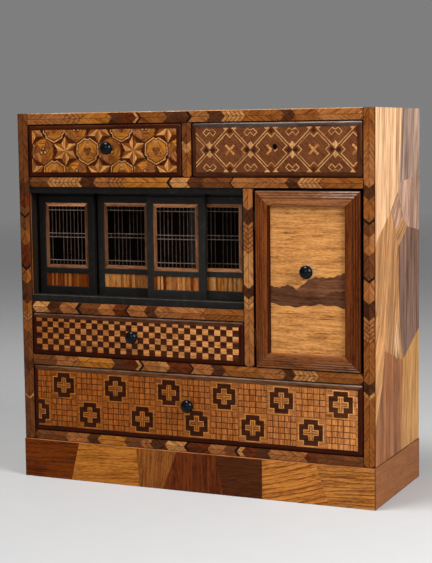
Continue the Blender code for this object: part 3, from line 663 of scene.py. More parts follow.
class Sock:
    """An output socket of a node, with arithmetic that adds Math nodes."""

    def __init__(self, maker, socket):
        self.maker = maker
        self.socket = socket

    def __add__(self, other):
        return self.maker.maths("ADD", self, other)

    def __radd__(self, other):
        return self.maker.maths("ADD", other, self)

    def __sub__(self, other):
        return self.maker.maths("SUBTRACT", self, other)

    def __rsub__(self, other):
        return self.maker.maths("SUBTRACT", other, self)

    def __mul__(self, other):
        return self.maker.maths("MULTIPLY", self, other)

    def __rmul__(self, other):
        return self.maker.maths("MULTIPLY", other, self)

    def __truediv__(self, other):
        return self.maker.maths("DIVIDE", self, other)


class NodeMaker:
    """Makes the nodes of one tree."""

    def __init__(self, tree):
        self.tree = tree

    def node(self, kind, settings=None, sockets=None, output=0):
        """Add a node: its settings first, then values or links of its sockets."""
        made = self.tree.nodes.new(kind)
        for name, value in (settings or {}).items():
            setattr(made, name, value)
        for name, value in (sockets or {}).items():
            self.feed(made.inputs[name], value)
        return Sock(self, made.outputs[output])

    def feed(self, target, value):
        """Link a socket, or set its value."""
        if isinstance(value, Sock):
            self.tree.links.new(value.socket, target)
        else:
            target.default_value = value

    def maths(self, operation, first, second=0.0, clamp=False):
        """One Math node."""
        settings = {"operation": operation, "use_clamp": clamp}
        return self.node("ShaderNodeMath", settings, {0: first, 1: second})

    def vector_maths(self, operation, first, second, output=0):
        """One Vector Math node: its second socket is a vector, or the factor of a scale."""
        socket = "Scale" if operation == "SCALE" else 1
        sockets = {0: first, socket: second}
        return self.node("ShaderNodeVectorMath", {"operation": operation}, sockets, output)

    def ramp(self, value, start, slope):
        """How far a value is past a start, times a slope, from 0 to 1."""
        return self.maths("MULTIPLY", value - start, slope, clamp=True)

    def between(self, low, high, share):
        """A value that goes from low to high with a share."""
        return share * (high - low) + low

    def joined(self, x, y, z):
        """A vector of three values."""
        return self.node("ShaderNodeCombineXYZ", None, {0: x, 1: y, 2: z})

    def split(self, vector):
        """The three values of a vector."""
        parts = self.node("ShaderNodeSeparateXYZ", None, {0: vector})
        outputs = parts.socket.node.outputs
        return [Sock(self, outputs[axis]) for axis in range(3)]


class Shading(NodeMaker):
    """Makes the nodes of one material."""

    def __init__(self, name):
        self.material = bpy.data.materials.new(name)
        self.material.use_nodes = True
        super().__init__(self.material.node_tree)
        self.shader = self.tree.nodes["Principled BSDF"]

    def place(self):
        """The place on a piece, as three values in millimetres."""
        spot = self.node("ShaderNodeTexCoord", output="Object")
        return [part * (1.0 / MM) for part in self.split(spot)]

    def noise(self, x, y, z, detail):
        """Soft noise from 0 to 1 at a place."""
        sockets = {"Vector": self.joined(x, y, z), "Scale": 1.0, "Detail": detail}
        return self.node("ShaderNodeTexNoise", None, sockets)

    def clouds(self, kind):
        """One noise over a piece, at its rates along the axes."""
        rates, detail = kind
        return self.noise(*[part * rate for part, rate in zip(self.place(), rates)], detail)

    def grained(self, place, kind):
        """One noise of the grain at a place along it, across it and through layers."""
        along, across, layer = place
        along_rate, across_rate, start, detail = kind
        return self.noise(along * along_rate, across * across_rate, layer + start, detail)

    def mixed(self, first, second, share):
        """Two colours mixed by a share."""
        ends = [end if isinstance(end, Sock) else (*end, 1.0) for end in (first, second)]
        sockets = dict(zip(MIX_SOCKETS, (share, *ends)))
        return self.node("ShaderNodeMix", {"data_type": "RGBA"}, sockets, MIX_RESULT)

    def surface(self, **values):
        """Set or link inputs of the shader, named with underscores for spaces."""
        for name, value in values.items():
            self.feed(self.shader.inputs[name.replace("_", " ")], value)

    def bumps(self, height, strength, distance):
        """Feed a bump to the shader's normal."""
        sockets = {"Height": height, "Strength": strength, "Distance": distance}
        self.surface(Normal=self.node("ShaderNodeBump", None, sockets))


def wood_surface(shading, colour, place, roughness, rings=PLAIN_RINGS[0], contrast=1.0):
    """Wood over a colour: place is millimetres along the grain, across it and through layers."""
    _, across, _ = place
    broad = shading.grained(place, BROAD)
    streaks = shading.grained(place, STREAKS)
    fibres = shading.grained(place, FIBRES)
    flecks = shading.grained(place, FLECKS)
    year = shading.maths("FRACT", across * RING_RATE + broad * RING_WAVER + fibres * RING_FRAY)
    late = shading.maths("POWER", year, RING_SHARPNESS) * rings
    pores = shading.ramp(flecks, PORE_START, PORE_SLOPE)
    tone = broad - NOISE_MIDDLE
    tone += (streaks - NOISE_MIDDLE) * STREAK_TONE + (fibres - NOISE_MIDDLE) * FIBRE_TONE
    tone -= late + pores * PORE_TONE
    tone = shading.maths("ADD", tone * contrast, MIDDLE_TONE, clamp=True)
    dark, light = [shading.vector_maths("MULTIPLY", colour, tint) for tint in (DARK_GRAIN, LIGHT_GRAIN)]
    shading.surface(
        Base_Color=shading.mixed(dark, light, tone),
        Roughness=streaks * STREAK_ROUGHNESS + pores * PORE_ROUGHNESS + roughness,
        Specular_IOR_Level=WOOD_SPECULAR,
    )
    shading.bumps((streaks + fibres) / 2 - pores * PORE_DEPTH, *WOOD_BUMP)


def mitred(shading, node):
    """Grain along a frame's four sides, the way in from its edge in mm, and where it is upright."""
    low, high = box_mm(node)
    x, _, z = shading.place()
    aside = shading.maths("MINIMUM", x - low.x, high.x - x)
    above = shading.maths("MINIMUM", z - low.z, high.z - z)
    upright = shading.maths("LESS_THAN", aside, above)
    along = shading.between(x, z, upright)
    across = shading.between(z, x, upright)
    return (along, across, upright * LAYER_STEP), shading.maths("MINIMUM", aside, above), upright


def upper_half(shading, node):
    """Where a place is in the upper half of a node."""
    low, high = box_mm(node)
    _, _, z = shading.place()
    return shading.maths("GREATER_THAN", z, (low.z + high.z) / 2)


def add_painted_highlight(shading, colour, spot, ends, kind, highlight_mask):
    """Paint a highlight over a colour where the mask is set, stronger towards its right end."""
    along, across, layer = spot
    along_rate, across_rate, detail, rise, start = kind
    haze = shading.noise(along * along_rate, across * across_rate, layer, detail)
    left, right = ends
    share = (along - left) / (right - left)
    return shading.mixed(colour, woods().painted_highlight, shading.ramp(haze + share * rise, start, highlight_mask))


def border_material(drawer):
    """The mitred dark border of a drawer front, with painted reflection along its top and a painted
    highlight on its upper edge.
    """
    node = f"{drawer}_front"
    low, high = box_mm(node)
    shading = Shading(f"{drawer} border")
    place, _, upright = mitred(shading, node)
    x, _, z = shading.place()
    *tints, painted_highlight = BORDER_TINTS[drawer]
    plain, painted_reflection = [toned(woods().border, tint) for tint in tints]
    # Painted reflection of the lamps above on the upper rail
    colour = shading.mixed(plain, painted_reflection, upper_half(shading, node) * (1.0 - upright))
    # Painted highlight along the upper edge
    highlight_mask = shading.maths("GREATER_THAN", z, high.z - HIGHLIGHT_WIDTH) * painted_highlight
    colour = add_painted_highlight(shading, colour, (x, 0.0, low.z), (low.x, high.x), BORDER_HIGHLIGHT_NOISE, highlight_mask)
    wood_surface(shading, colour, place, roughness=0.26)
    return shading.material


def lattice_material(slider):
    """A mitred frame round dark upright slats and lighter cross bars, with painted light and shade on its
    stiles and rails.
    """
    node = f"{slider}_lattice"
    low, high = box_mm(node)
    shading = Shading(f"{slider} lattice")
    place, inward, upright = mitred(shading, node)
    _, _, z = shading.place()
    clear = high.z - low.z - 2 * LATTICE_FRAME
    bars = 0.0
    for share in BAR_PLACES:
        height = high.z - LATTICE_FRAME - share * clear
        away = shading.maths("ABSOLUTE", z - height)
        bars = shading.maths("LESS_THAN", away, BAR_REACH) + bars
    middle = shading.mixed(woods().slat, woods().bar, bars)
    inside = shading.maths("GREATER_THAN", inward, LATTICE_FRAME + EDGE_MARGIN)
    # Painted light and shade on the frame's stiles and rails
    stiles, top, bottom = LATTICE_SHADES[slider]
    rails = shading.between(bottom, top, upper_half(shading, node))
    light = shading.between(rails, stiles, upright)
    rim = shading.vector_maths("SCALE", woods().lattice, light)
    wood_surface(shading, shading.mixed(rim, middle, inside), place, roughness=0.34)
    return shading.material


def moulding_material(side, axis, inward, tint, line, painted_highlight):
    """A reeded moulding with painted shade in its grooves and painted light on its crests, tinted by
    painted light, with a painted shade line on the left and a painted highlight on top and bottom.
    """
    low, high = box_mm(f"door_{side}_moulding")
    shading = Shading(f"{side} moulding wood")
    x, y, z = shading.place()
    along, across = (x, z) if axis == X else (z, x)
    width_axis = Z - axis
    outer = (low if inward > 0 else high)[width_axis]
    way_in = (across - outer) * inward
    reeds = shading.maths("MINIMUM", way_in / REED_WIDTH, REED_COUNT + COVE_PHASE)
    crest = shading.maths("SINE", shading.maths("FRACT", reeds) * math.pi)
    # Painted light and shade across the reeds: light on the crests, dark in the grooves
    reed_light = shading.maths("POWER", crest, CREST_LIGHT_CURVE) * CREST_LIGHT + GROOVE_LIGHT
    wood = shading.vector_maths("SCALE", toned(woods().moulding, tint), reed_light)
    # Painted shade along the inner edge, where the moulding's return lies in shade
    if line:
        inner = shading.maths("GREATER_THAN", way_in, (high - low)[width_axis] - line)
        wood = shading.mixed(wood, woods().border, inner)
    if painted_highlight:
        reeded = shading.maths("LESS_THAN", reeds, REED_COUNT)
        highlight_mask = shading.maths("POWER", crest, CROWN_SHARPNESS) * reeded * painted_highlight
        spot = (along, across, 0.0)
        wood = add_painted_highlight(shading, wood, spot, (low.x, high.x), MOULDING_HIGHLIGHT_NOISE, highlight_mask)
    slanted = across + y * DRIFT_ACROSS
    place = (along * MOULDING_FINENESS, slanted * MOULDING_FINENESS, y * DRIFT_LAYER)
    wood_surface(shading, wood, place, roughness=0.26)
    return shading.material


def veneer_material(worn=False):
    """Veneer whose wood and grain are in the mesh, mottled where worn; made on first use."""
    name = "worn marquetry veneer" if worn else "marquetry veneer"
    if name in bpy.data.materials:
        return bpy.data.materials[name]
    shading = Shading(name)
    wood = shading.node("ShaderNodeAttribute", {"attribute_name": WOOD})
    rings = Sock(shading, wood.socket.node.outputs["Alpha"])
    copy = shading.node("ShaderNodeAttribute", {"attribute_name": COPY}, output="Fac")
    along, across, _ = shading.split(shading.node("ShaderNodeUVMap", {"uv_map": GRAIN}))
    if worn:
        mottle = shading.grained((along, across, copy), MOTTLE)
        depth = rings * MOTTLE_GAIN + MOTTLE_DEPTH
        wood = shading.vector_maths("SCALE", wood, (mottle - NOISE_MIDDLE) * depth + 1.0)
    wood_surface(shading, wood, (along, across, copy * COPY_STEP), roughness=0.30, rings=rings)
    return shading.material


def board_material(name, colour, axis, roughness=0.34, rings=PLAIN_RINGS, contrast=1.0):
    """Solid wood with its grain along one axis, made on first use."""
    if name in bpy.data.materials:
        return bpy.data.materials[name]
    shading = Shading(name)
    dark, fine, drawn = rings
    parts = [part * fine for part in shading.place()]
    across, through = [part for number, part in enumerate(parts) if number != axis]
    place = (parts[axis] * drawn, across + through * DRIFT_ACROSS, through * DRIFT_LAYER)
    wood_surface(shading, colour, place, roughness, dark, contrast)
    return shading.material


def faced_material(name, colour, axis):
    """A board with upright grain, painted near black as shade where it faces the inside of the case."""
    side_face = in_mm(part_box("right_side")[0].x) + EDGE_MARGIN
    back_face = in_mm(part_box("back_panel")[0].y) + EDGE_MARGIN
    top_face = in_mm(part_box("top_board")[0].z)
    shading = Shading(name)
    x, y, z = shading.place()
    inside = shading.maths("LESS_THAN", shading.maths("ABSOLUTE", x), side_face)
    inside *= shading.maths("LESS_THAN", y, back_face)
    inside *= shading.maths("LESS_THAN", z, top_face)
    paint = shading.mixed(colour, woods().stain, inside)
    across = (y if axis == X else x) * FACED_FINENESS
    wood_surface(shading, paint, (z, across, inside * LAYER_STEP), roughness=0.42, contrast=0.55)
    return shading.material


def lacquer_material(node, shade):
    """Black lacquer, a little dusty; one piece has a painted highlight along its upper front edge."""
    shading = Shading(f"{node} lacquer")
    dust = shading.clouds(DUST)
    brushed = shading.clouds(BRUSHED)
    black = lightened(woods().lacquer, shade)
    dusty = shading.ramp(dust, DUST_START, DUST_SLOPE)
    paint = shading.mixed(black, lightened(black, DUST_LIGHT), dusty)
    # Painted highlight along the upper front edge, broken up by the dust noise
    if node == HIGHLIGHTED_PIECE:
        low, high = box_mm(node)
        _, y, z = shading.place()
        away = shading.maths("MAXIMUM", y - low.y, high.z - z)
        edge = shading.maths("LESS_THAN", away, EDGE_HIGHLIGHT_WIDTH)
        edge_highlight = lightened(woods().lacquer, EDGE_HIGHLIGHT_GAIN)
        paint = shading.mixed(paint, edge_highlight, edge * shading.between(*EDGE_HIGHLIGHT_RANGE, dust))
    shading.surface(
        Base_Color=paint,
        Roughness=shading.between(0.30, 0.55, dust),
        Specular_IOR_Level=0.12,
    )
    relief = shading.between(dust, brushed, BRUSHED_SHARE)
    shading.bumps(relief, strength=0.10, distance=FINE_BUMP)
    return shading.material


def knob_material():
    """Polished black wood."""
    shading = Shading("polished black knob")
    haze = shading.clouds(HAZE)
    shading.surface(
        Base_Color=shading.vector_maths("SCALE", woods().knob, shading.between(0.4, 1.6, haze)),
        Roughness=shading.between(0.12, 0.22, haze),
        Specular_IOR_Level=0.14,
    )
    shading.bumps(shading.clouds(TURNING), strength=0.06, distance=FINE_BUMP)
    return shading.material


def brass_material():
    """Aged brass."""
    shading = Shading("aged brass")
    tarnish = shading.clouds(TARNISH)
    shading.surface(
        Base_Color=shading.mixed(woods().brass, lightened(woods().brass, DULL_BRASS), tarnish),
        Roughness=shading.between(0.22, 0.57, tarnish),
        Metallic=1.0,
    )
    shading.bumps(tarnish, strength=0.1, distance=FINE_BUMP)
    return shading.material


class Mosaic:
    """Flat tiles of veneer in millimetres, each a prism with its own wood and grain."""

    def __init__(self):
        self.tiles = []
        self.chance = random.Random(SEED)

    def lay(self, outline, wood, grain=0.0, level=0, shade=1.0):
        """Add a tile; a higher level lies over a lower one."""
        self.tiles.append((outline, wood, grain, level, shade))

    def line(self, points, width, wood, level):
        """Inlay a thin line along points, mitred at its bends."""
        closed = points[0] == points[-1]
        sides = mitred_sides(points, width, closed)
        for (near, far), (next_near, next_far) in zip(sides, sides[1:]):
            angle = math.degrees(math.atan2(next_near[1] - near[1], next_near[0] - near[0]))
            self.lay((near, next_near, next_far, far), wood, angle, level)

    def shape(self, plane, origin, thickness):
        """The tiles as prisms on a plane, in a bmesh."""
        shape = bmesh.new()
        colours = shape.loops.layers.float_color.new(WOOD)
        grain_map = shape.loops.layers.uv.new(GRAIN)
        fronts = []
        for outline, wood, grain, level, shade in self.tiles:
            outline = anticlockwise(outline)
            top = in_mm(thickness) + level * LEVEL_STEP - CHAMFER
            heights = self.tilted(outline, top)
            tops = zip(outline, heights)
            front = [raised(shape, plane, origin, point, height) for point, height in tops]
            back = [raised(shape, plane, origin, point, 0.0) for point in outline]
            faces = [shape.faces.new(front), shape.faces.new(list(reversed(back)))]
            fronts.append(faces[0])
            for number in range(len(front)):
                after = (number + 1) % len(front)
                corners = (front[number], back[number], back[after], front[after])
                faces.append(shape.faces.new(corners))
            paint = self.paint(wood, shade)
            self.colour_tile(faces, plane, (colours, grain_map), paint, grain, wood)
        shape.normal_update()
        bmesh.ops.inset_individual(
            shape,
            faces=fronts,
            thickness=CHAMFER * MM,
            depth=CHAMFER * MM,
            use_even_offset=True,
            use_interpolate=True,
        )
        return shape

    def tilted(self, outline, top):
        """Heights of a tile's corners, a hair out of level as hand-laid pieces are."""
        middle = [sum(point[axis] for point in outline) / len(outline) for axis in range(2)]
        reach = max(math.dist(point, middle) for point in outline)
        slope = [self.chance.uniform(-TILT, TILT) / reach for _ in range(2)]
        heights = []
        for point in outline:
            lean = sum(slope[axis] * (point[axis] - middle[axis]) for axis in range(2))
            heights.append(top + lean)
        return heights

    def paint(self, wood, shade):
        """A wood's colour, a little lighter or darker on each tile, with its rings."""
        tone = shade * self.chance.uniform(1.0 - TONE_SPREAD, 1.0 + TONE_SPREAD)
        rings, _, _ = RINGS.get(wood, PLAIN_RINGS)
        return (*lightened(getattr(woods(), wood), tone), rings)

    def colour_tile(self, faces, plane, layers, paint, grain, wood):
        """Give a tile its wood, and a grain of its own."""
        colours, grain_map = layers
        _, fine, drawn = RINGS.get(wood, PLAIN_RINGS)
        turn = math.radians(grain)
        start = [self.chance.uniform(0.0, GRAIN_SPREAD) for _ in range(2)]
        for face in faces:
            for loop in face.loops:
                across = in_mm(loop.vert.co.dot(plane[0]))
                up = in_mm(loop.vert.co.dot(plane[1]))
                along = across * math.cos(turn) + up * math.sin(turn)
                over = up * math.cos(turn) - across * math.sin(turn)
                loop[colours] = paint
                run = (along + start[0]) * fine * drawn
                loop[grain_map].uv = (run, (over + start[1]) * fine)


def merge(whole, shape):
    """Move a bmesh into another."""
    part = bpy.data.meshes.new("part")
    shape.to_mesh(part)
    shape.free()
    whole.from_mesh(part)
    bpy.data.meshes.remove(part)


def worn_lit_edge(node, wood):
    """A light slanted edge along the top of a board's front, as a bmesh: a worn arris with a painted
    highlight.
    """
    low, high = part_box(node)
    mosaic = Mosaic()
    mosaic.lay(box_outline(in_mm(low.x), in_mm(high.x), 0.0, in_mm(sizes().arris)), wood)
    thickness = sizes().veneer / 3
    rise = ARRIS[1].z * sizes().arris + EDGE_MARGIN * MM
    foot = Vector((0.0, low.y - sizes().veneer, high.z - rise))
    return mosaic.shape(ARRIS, foot - ARRIS[2] * thickness, thickness)


def raised(shape, plane, origin, point, height):
    """A vertex over a point of a plane: point and height in millimetres, origin in metres."""
    across, up, out = plane
    place = across * point[0] + up * point[1] + out * height
    return shape.verts.new(Vector(origin) + place * MM)


def anticlockwise(outline):
    """An outline's points in anticlockwise order."""
    area = 0.0
    for (x, y), (next_x, next_y) in zip(outline, (*outline[1:], outline[0])):
        area += x * next_y - next_x * y
    return list(outline) if area > 0.0 else list(reversed(outline))


def mitred_sides(points, width, closed):
    """The two sides of a line at each of its points."""
    sides = []
    count = len(points)
    for number, (x, y) in enumerate(points):
        normals = []
        for first, second in ((number - 1, number), (number, number + 1)):
            if closed:
                first, second = first % (count - 1), second % (count - 1)
            elif first < 0 or second >= count:
                continue
            run = (points[second][0] - points[first][0], points[second][1] - points[first][1])
            length = math.hypot(*run)
            normals.append((-run[1] / length, run[0] / length))
        across = [sum(normal[axis] for normal in normals) for axis in range(2)]
        reach = width / 2 * len(normals) / (across[0] ** 2 + across[1] ** 2)
        step = (across[0] * reach, across[1] * reach)
        sides.append(((x - step[0], y - step[1]), (x + step[0], y + step[1])))
    return sides


def ring(radius, count, start=QUARTER, centre=CENTRE):
    """Points of a regular polygon."""
    points = []
    for number in range(count):
        angle = math.radians(start + FULL * number / count)
        points.append((centre[0] + radius * math.cos(angle), centre[1] + radius * math.sin(angle)))
    return points


def box_outline(left, right, foot, top):
    """The corners of a rectangle."""
    return ((left, foot), (right, foot), (right, top), (left, top))


def square_outline(x, y, wide, tall, gap):
    """The corners of a cell of a grid, with a gap all round."""
    left, foot = x + gap, y + gap
    return box_outline(left, left + wide - 2 * gap, foot, foot + tall - 2 * gap)


def diamond_outline(x, y, half_width, half_height):
    """The corners of a diamond about a point."""
    return ((x + half_width, y), (x, y + half_height), (x - half_width, y), (x, y - half_height))


def trim(shape, plane, low, high):
    """Cut a mosaic at a rectangle in the plane, and close the cut tiles."""
    for way, limits in ((plane[0], (low[0], high[0])), (plane[1], (low[1], high[1]))):
        for limit, outward in zip(limits, (-way, way)):
            bmesh.ops.bisect_plane(
                shape,
                geom=shape.verts[:] + shape.edges[:] + shape.faces[:],
                dist=WELD,
                plane_co=way * limit * MM,
                plane_no=outward,
                clear_outer=True,
            )
            rim = [edge for edge in shape.edges if edge.is_boundary]
            bmesh.ops.holes_fill(shape, edges=rim, sides=0)


def mesh_from(shape, name, plane, material):
    """A mesh from a bmesh, with a flat map for baking."""
    bake_map = shape.loops.layers.uv.new(BAKE_MAP)
    across, up, _ = plane
    places = [(vert.co.dot(across), vert.co.dot(up)) for vert in shape.verts]
    low = [min(place[axis] for place in places) for axis in range(2)]
    span = [max(place[axis] for place in places) - low[axis] for axis in range(2)]
    for face in shape.faces:
        for loop in face.loops:
            place = (loop.vert.co.dot(across), loop.vert.co.dot(up))
            loop[bake_map].uv = [(place[axis] - low[axis]) / span[axis] for axis in range(2)]
    mesh = bpy.data.meshes.new(name)
    shape.to_mesh(mesh)
    shape.free()
    mesh.materials.clear()
    mesh.materials.append(material)
    return mesh


def add_piece(name, mesh, body, replaced=()):
    """Link a finished piece, ride it on its body and hide the parts that it replaces."""
    piece = bpy.data.objects.new(name, mesh)
    bpy.context.scene.collection.objects.link(piece)
    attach(piece, body)
    if replaced:
        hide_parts(*replaced)


def add_veneer(name, shape, plane, body, replaced=(), worn=False):
    """Make a piece of veneer from a bmesh."""
    mesh = mesh_from(shape, name, plane, veneer_material(worn))
    add_piece(name, mesh, body, replaced)


def paint_nodes(material, *nodes):
    """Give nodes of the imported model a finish."""
    for node in nodes:
        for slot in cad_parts[node].material_slots:
            slot.material = material


def repeat_tree():
    """The tree that repeats a motif in rows, made on first use."""
    name = "Repeated motif"
    tree = bpy.data.node_groups.get(name)
    if tree:
        return tree
    tree = bpy.data.node_groups.new(name, "GeometryNodeTree")
    maker = NodeMaker(tree)
    for label, kind in (
        ("Motif", "NodeSocketObject"),
        ("Columns", "NodeSocketInt"),
        ("Rows", "NodeSocketInt"),
        ("Column pitch", "NodeSocketFloat"),
        ("Row pitch", "NodeSocketFloat"),
        ("Row shift", "NodeSocketFloat"),
        ("Start", "NodeSocketVector"),
        ("Seed", "NodeSocketInt"),
        ("Finish", "NodeSocketMaterial"),
    ):
        tree.interface.new_socket(label, in_out="INPUT", socket_type=kind)
    tree.interface.new_socket("Geometry", in_out="OUTPUT", socket_type="NodeSocketGeometry")
    outputs = tree.nodes.new("NodeGroupInput").outputs
    given = {socket.name: Sock(maker, socket) for socket in outputs if socket.name}
    index = maker.node("GeometryNodeInputIndex")
    row = maker.maths("FLOOR", (index + INDEX_SHIFT) / given["Columns"])
    column = index - row * given["Columns"]
    odd = maker.maths("MODULO", row, 2.0)
    x = column * given["Column pitch"] + odd * given["Row shift"]
    step = maker.joined(x, 0.0, row * given["Row pitch"])
    place = maker.vector_maths("ADD", given["Start"], step)
    count = given["Columns"] * given["Rows"]
    points = maker.node("GeometryNodePoints", None, {"Count": count, "Position": place})
    motif = maker.node("GeometryNodeObjectInfo", None, {"Object": given["Motif"]}, "Geometry")
    copies = maker.node("GeometryNodeInstanceOnPoints", None, {"Points": points, "Instance": motif})
    share = maker.node("FunctionNodeRandomValue", {"data_type": "FLOAT"}, {"Seed": given["Seed"]}, 1)
    marked = maker.node(
        "GeometryNodeStoreNamedAttribute",
        {"data_type": "FLOAT", "domain": "INSTANCE"},
        {"Geometry": copies, "Name": COPY, "Value": share},
    )
    whole = maker.node("GeometryNodeRealizeInstances", None, {"Geometry": marked})
    sockets = {"Geometry": whole, "Material": given["Finish"]}
    finished = maker.node("GeometryNodeSetMaterial", None, sockets)
    maker.feed(tree.nodes.new("NodeGroupOutput").inputs["Geometry"], finished)
    return tree


def repeat(motif, columns, rows, pitch, shift, start, material):
    """A mesh of a motif repeated in rows; pitches, shift and start are in metres."""
    tree = repeat_tree()
    holder = bpy.data.objects.new("motif", motif)
    bearer = bpy.data.objects.new("repeated motif", bpy.data.meshes.new("repeated motif"))
    for item in (holder, bearer):
        bpy.context.scene.collection.objects.link(item)
    modifier = bearer.modifiers.new("repeat", "NODES")
    modifier.node_group = tree
    values = {
        "Motif": holder,
        "Columns": columns,
        "Rows": rows,
        "Column pitch": pitch[0],
        "Row pitch": pitch[1],
        "Row shift": shift,
        "Start": start,
        "Seed": SEED,
        "Finish": material,
    }
    for socket in tree.interface.items_tree:
        if socket.in_out == "INPUT":
            modifier[socket.identifier] = values[socket.name]
    graph = bpy.context.evaluated_depsgraph_get()
    mesh = bpy.data.meshes.new_from_object(
        bearer.evaluated_get(graph),
        preserve_all_data_layers=True,
        depsgraph=graph,
    )
    for item in (bearer, holder):
        bpy.data.objects.remove(item)
    return mesh


def field_of(drawer):
    """The sunk field of a drawer front: its low and high corners in millimetres, and its floor."""
    low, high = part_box(f"{drawer}_front")
    corners = (
        (in_mm(low.x) + BORDER, in_mm(low.z) + BORDER),
        (in_mm(high.x) - BORDER, in_mm(high.z) - BORDER),
    )
    return corners[0], corners[1], in_mm(low.y) + BORDER_SINK


def paint_light_across(shape, left, right, lighting):
    """Paint light across a mosaic: tint its woods from a shaded left end to a lit right end."""
    first, last, curve = lighting
    colours = shape.loops.layers.float_color[WOOD]
    for face in shape.faces:
        for loop in face.loops:
            share = ((in_mm(loop.vert.co.x) - left) / (right - left)) ** curve
            tint = [near + (far - near) * share for near, far in zip(first, last)]
            *colour, rings = loop[colours]
            loop[colours] = (*toned(colour, tint), rings)


def lay_field(drawer, lattices, lighting=None):
    """Fill a drawer front with motifs: each with columns, rows, pitch, row shift and start in mm."""
    low, high, floor = field_of(drawer)
    whole = bmesh.new()
    for mosaic, columns, rows, pitch, shift, start in lattices:
        motif = bpy.data.meshes.new("motif")
        shape = mosaic.shape(FRONT, (0.0, 0.0, 0.0), sizes().field_veneer)
        shape.to_mesh(motif)
        shape.free()
        place = Vector((start[0], floor, start[1])) * MM
        steps = [step * MM for step in pitch]
        finish = veneer_material()
        whole.from_mesh(repeat(motif, columns, rows, steps, shift * MM, place, finish))
    trim(whole, FRONT, low, high)
    if lighting:
        paint_light_across(whole, low[0], high[0], lighting)
    add_veneer(f"{drawer}_field", whole, FRONT, drawer)


def star_motif(radius):
    """A six-pointed star of split points on dark triangles."""
    mosaic = Mosaic()
    tips = ring(radius, HEXAGON)
    notches = ring(radius / math.sqrt(3.0), HEXAGON, QUARTER + SIXTH / 2)
    for number, tip in enumerate(tips):
        angle = QUARTER + SIXTH * number
        before = notches[number - 1]
        after = notches[number]
        beyond = tips[(number + 1) % HEXAGON]
        mosaic.lay((CENTRE, before, tip), "amber", angle, shade=0.85)
        mosaic.lay((CENTRE, tip, after), "straw", angle, shade=1.22)
        mosaic.lay((tip, beyond, after), "russet", angle + SIXTH / 2, shade=0.6)
    return mosaic


def dented_ring(radius, dent):
    """A hexagon whose top, lower left and lower right corners are dented."""
    points = []
    for number, corner in enumerate(ring(radius, HEXAGON)):
        angle = math.degrees(math.atan2(corner[1], corner[0]))
        if number % 2:
            points.append(corner)
            continue
        for turn, reach in ((-DENT_TURN, DENT_REACH), (0.0, 1.0 - dent), (DENT_TURN, DENT_REACH)):
            points.append(ring(radius * reach, 1, angle + turn)[0])
    return points


def outlined_motif(radius):
    """A hexagon with dark and light outlines round a plain field with a trefoil."""
    mosaic = Mosaic()
    mosaic.lay(ring(radius, HEXAGON), "plum", shade=0.8)
    for level, (wood, reach, dent, shade) in enumerate(OUTLINED_EDGES, 1):
        mosaic.lay(dented_ring(radius * reach, dent), wood, 0.0, level, shade)
    reach, dent = OUTLINED_FIELD
    field = dented_ring(radius * reach, dent)
    for number, (wood, shade) in enumerate(OUTLINED_WOODS):
        start = number * len(field) // HEXAGON
        end = (number + 1) * len(field) // HEXAGON
        corners = [field[step % len(field)] for step in range(start, end + 1)]
        mosaic.lay((CENTRE, *corners), wood, SIXTH * number, 3, shade)
    for angle in TREFOIL_TURNS:
        centre = ring(TREFOIL_OFFSET, 1, angle)[0]
        leaf = ring(TREFOIL_RADIUS, OCTAGON, angle, centre)
        mosaic.lay(leaf, "brown", angle, level=4, shade=1.15)
    return mosaic


def rounded_motif(radius):
    """A hexagon with brown corners round a twelve-sided field with three small rings."""
    mosaic = Mosaic()
    mosaic.lay(ring(radius, HEXAGON), "plum", shade=0.8)
    corners = ring(radius * CORNER_REACH, HEXAGON)
    for number, wood in enumerate(ROUNDED_CORNERS):
        mosaic.lay((CENTRE, corners[number - 1], corners[number]), wood, SIXTH * number, 1)
    field = ring(radius * ROUNDED_REACH, 2 * HEXAGON, QUARTER - SIXTH / 4)
    for number, (wood, shade) in enumerate(ROUNDED_WOODS):
        points = [field[(2 * number + step) % len(field)] for step in range(3)]
        mosaic.lay((CENTRE, *points), wood, SIXTH * number, 2, shade)
    for angle in RINGLET_TURNS:
        centre = ring(RINGLET_OFFSET, 1, angle)[0]
        for wood, size, level, shade in RINGLETS:
            mosaic.lay(ring(size, OCTAGON, angle, centre), wood, angle, level, shade)
    return mosaic


class CABINET_OT_star_field(bpy.types.Operator):
    """Lay the stars and hexagons of the upper left drawer"""

    bl_idname = "cabinet.star_field"
    bl_label = "Star field"

    def execute(self, context):
        low, high, _ = field_of("star_drawer")
        pitch = in_mm(sizes().star_pitch)
        radius = pitch / math.sqrt(3.0)
        period = (3 * pitch, 3 * radius / 2)
        shift = period[0] / 2
        first_star = low[0] + STAR_START - period[0]
        foot = (low[1] + high[1]) / 2 - period[1]
        lattices = []
        for step, motif in enumerate((star_motif, outlined_motif, rounded_motif)):
            start = (first_star + step * pitch - shift, foot)
            lattices.append((motif(radius), STAR_COLUMNS, STAR_ROWS, period, shift, start))
        lay_field("star_drawer", lattices)
        return {"FINISHED"}


def crossing_motif(half_width, half_height):
    """Where the diamond lines cross: four small diamonds, and a bent loop above and below."""
    mosaic = Mosaic()
    inset = LINE_INSET * math.sqrt(2.0)
    reach = half_width - inset
    for way in (1.0, -1.0):
        top = way * half_height
        mosaic.lay(((-half_width, top), (half_width, top), CENTRE), "nutmeg", EIGHTH * way)
        mosaic.line(((-reach, top), (0.0, way * inset), (reach, top)), CROSSING_LINE, "pale", 1)
        mosaic.line([(x, way * y) for x, y in BENT_LOOP], BENT_LINE, "pale", 1)
        away, *halves = LIGHT_DIAMOND
        mosaic.lay(diamond_outline(0.0, way * away, *halves), "pale", QUARTER, level=3, shade=0.9)
        away, *halves = DARK_DIAMOND
        mosaic.lay(diamond_outline(way * away, 0.0, *halves), "plum", level=3)
    return mosaic


